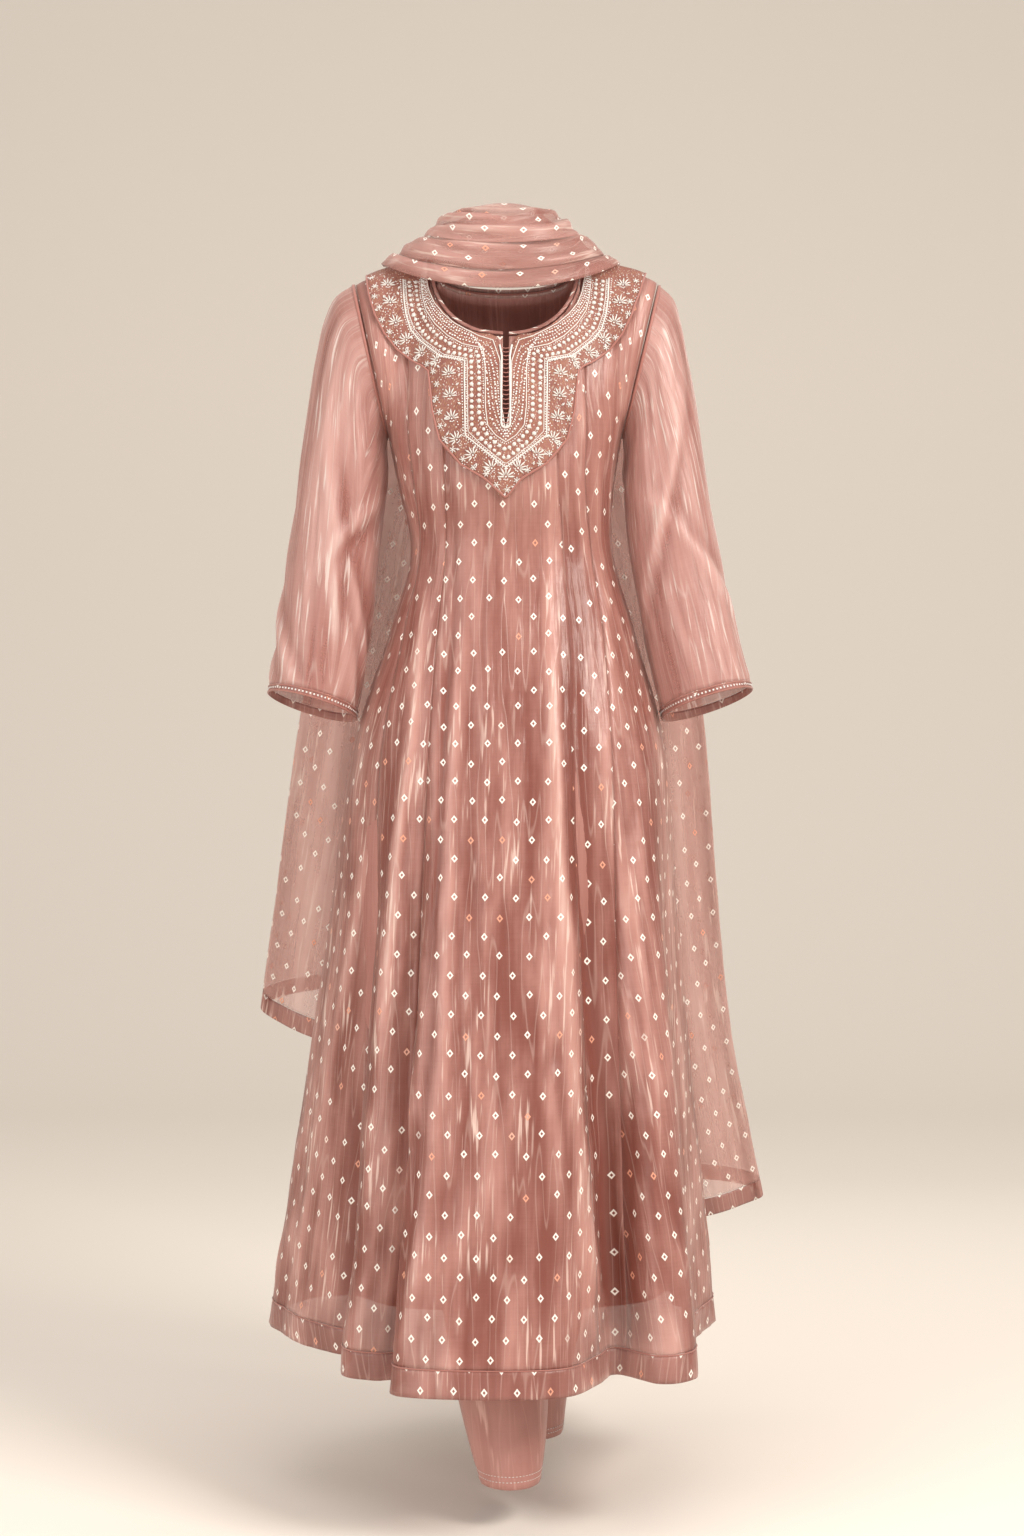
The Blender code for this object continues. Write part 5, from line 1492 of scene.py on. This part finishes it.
tiles = []
for row, across in enumerate((0.30, 0.66)):
    for i, a in enumerate(tile_band.row(across, 0.0068, 0.006, 0.994)):
        place, axes = tile_band.at(a, across)
        size = 0.0025 if (i + row) % 2 else 0.0029
        turn = 0.0 if (i + row) % 2 else math.pi / 4
        slant = turned(axes, turn + rng.normal(0, 0.12))
        tiles.append((place, slant, (size, size * rng.uniform(0.8, 1.1), 0.0009)))
beads("yoke_tiles", tiles, petal_silk)

# %% [markdown]
# ## Fans, stars and sprigs
# A fan is a half circle of long petals on a beaded heart. Each petal is one bead stretched to a leaf, as
# a satin-stitched petal bulges in the middle and narrows at both ends. The fans open towards the
# shoulders on both sides and downwards at the point. Small six-petalled stars and loose sprigs fill the
# outer edge.

# %% Fans, stars and sprigs
def petal(place, axes, angle, reach, length, width):
    """One leaf whose root is a given reach from the flower's heart, laid on the cloth."""
    ahead = turned(axes, angle)[0]
    middle, out = onto_yoke(place + ahead * (reach + length / 2), 0.0005)
    ahead = ahead - out * np.dot(ahead, out)
    ahead = ahead / np.linalg.norm(ahead)
    return middle, (ahead, np.cross(out, ahead), out), (length / 2, width / 2, 0.0009)


FAN_SPACING, STAR_SPACING, SPRIG_SPACING = 0.0265, 0.0165, 0.0105
flowers, hearts = [], []
fans = list(outer_band.row(0.4, FAN_SPACING, 0.012, 0.486))
for a in (*fans, 0.5, *(1 - fan for fan in fans)):
    at_tip = abs(a - 0.5) < 1e-6
    place, axes = outer_band.at(a, 0.30 if at_tip else 0.42, 0.0005)
    heading = math.pi / 2 if at_tip else (math.pi if a < 0.5 else 0.0)
    size = 1.15 if at_tip else 1.0
    for k in range(-3, 4):
        length = (0.0108 - 0.0009 * abs(k)) * size
        flowers.append(petal(place, axes, heading + k * 0.52, 0.0014, length, 0.0019 * size))
    for k in range(-1, 2):
        root, out = onto_yoke(place + turned(axes, heading + math.pi + k * 0.6)[0] * 0.0036, 0.0003)
        hearts.append((root, axes, (0.0009, 0.0009, 0.0007)))
    hearts.append((place, axes, (0.0012, 0.0012, 0.0011)))

for i, a in enumerate(outer_band.row(0.80, STAR_SPACING, 0.010, 0.990)):
    place, axes = outer_band.at(a, 0.80 + 0.03 * (-1) ** i)
    start = rng.uniform(0, math.pi)
    for k in range(6):
        flowers.append(petal(place, axes, start + k * math.pi / 3, 0.0004, 0.0040, 0.0014))
    hearts.append((place, axes, (0.0010, 0.0010, 0.0010)))
sprigs = []
for a in outer_band.row(0.66, SPRIG_SPACING, 0.012, 0.988):
    place, axes = outer_band.at(a, rng.choice((0.14, 0.62, 0.92)) + rng.normal(0, 0.02), 0.0003)
    bend = rng.uniform(0, 2 * math.pi)
    for fork in (0.7, -0.7, 0.0):
        sprigs.append(petal(place, axes, bend + fork, 0.0004, 0.0030, 0.0012))
beads("yoke_petals", flowers, petal_silk)
beads("yoke_hearts", hearts, bead_glass)
beads("yoke_sprigs", sprigs, bead_glass)

# %% [markdown]
# ## Scattered seed beads
# Loose seed beads fill what is left between the motifs. Each is thrown at a random place and kept only if
# nothing lies within its gap, which spreads them evenly without rows.

# %% Scattered seed beads
SEED_GAP = 0.0026  # from the middle of one bead to the next
taken = np.array([place[0] for place in flowers + hearts + tiles + sprigs])
seeds = []
for band, count, low, high in ((outer_band, 520, 0.08, 0.94), (tile_band, 260, 0.10, 0.86)):
    for _ in range(count):
        place, axes = band.at(rng.uniform(0.006, 0.994), rng.uniform(low, high), 0.0002)
        if np.linalg.norm(taken - place, axis=1).min() > SEED_GAP:
            taken = np.concatenate([taken, place[None]])
            seeds.append((place, axes, (0.0008, 0.0008, 0.0006)))
beads("yoke_seed_beads", seeds, bead_glass)

# %% [markdown]
# ## The placket
# The short slit is edged by a thick white cord that turns round below it, and small button loops of brown
# thread reach across from one side to the other.

# %% Placket cord and loops
PLACKET_TOP_Z, PLACKET_END_Z = -0.098, -0.197
PLACKET_HALF = 0.0052
LOOP_STEP = 0.0055

half_circle = [(PLACKET_HALF * math.cos(a), PLACKET_END_Z - PLACKET_HALF * math.sin(a))
               for a in np.linspace(0, math.pi, 13)]
upright = [(PLACKET_HALF, z) for z in np.linspace(PLACKET_TOP_Z, PLACKET_END_Z, 26)]
outline = upright + half_circle[1:-1] + [(-x, z) for x, z in reversed(upright)]
placket = [onto_yoke((PANEL_MIDDLE + x, -0.11, z), 0.0006)[0] for x, z in outline]
cord("placket_cord", [placket], 0.0012, petal_silk)
loops = []
for z in np.arange(PLACKET_TOP_Z - 0.004, PLACKET_END_Z, -LOOP_STEP):
    start, end = (onto_yoke((PANEL_MIDDLE + x, -0.11, z), 0.0002)[0] for x in (-PLACKET_HALF, PLACKET_HALF))
    bow = (start + end) / 2 + np.array([0, -0.0012, -0.0012])
    loops.append([start, (start + bow) / 2 + np.array([0, -0.0003, 0]), bow, (end + bow) / 2, end])
cord("placket_loops", loops, 0.0006, rose_cord)

# %% [markdown]
# ## Sheets and tapes
# The neck's binding and the cuffs are tapes about 5 and 10 mm wide, listed with the sheets that they
# edge, and the cloth of every sheet is added up. The kameez hangs from the shoulders, the slip and the
# trousers hang inside it, and the scarf is draped round the neck.

# %% Sheets of cloth
TAPES = {"yoke": ("neck_binding",), "sleeve_r": ("cuff_band_r",), "sleeve_l": ("cuff_band_l",)}
tapes = [tape for group in TAPES.values() for tape in group]
for name, sheet in sheets.items():
    if name in tapes:
        continue
cloth_area = sum(sheet.area for sheet in sheets.values())
print("declared", len(sheets) - len(tapes), "sheets;", round(cloth_area, 2), "square metres of cloth in all")
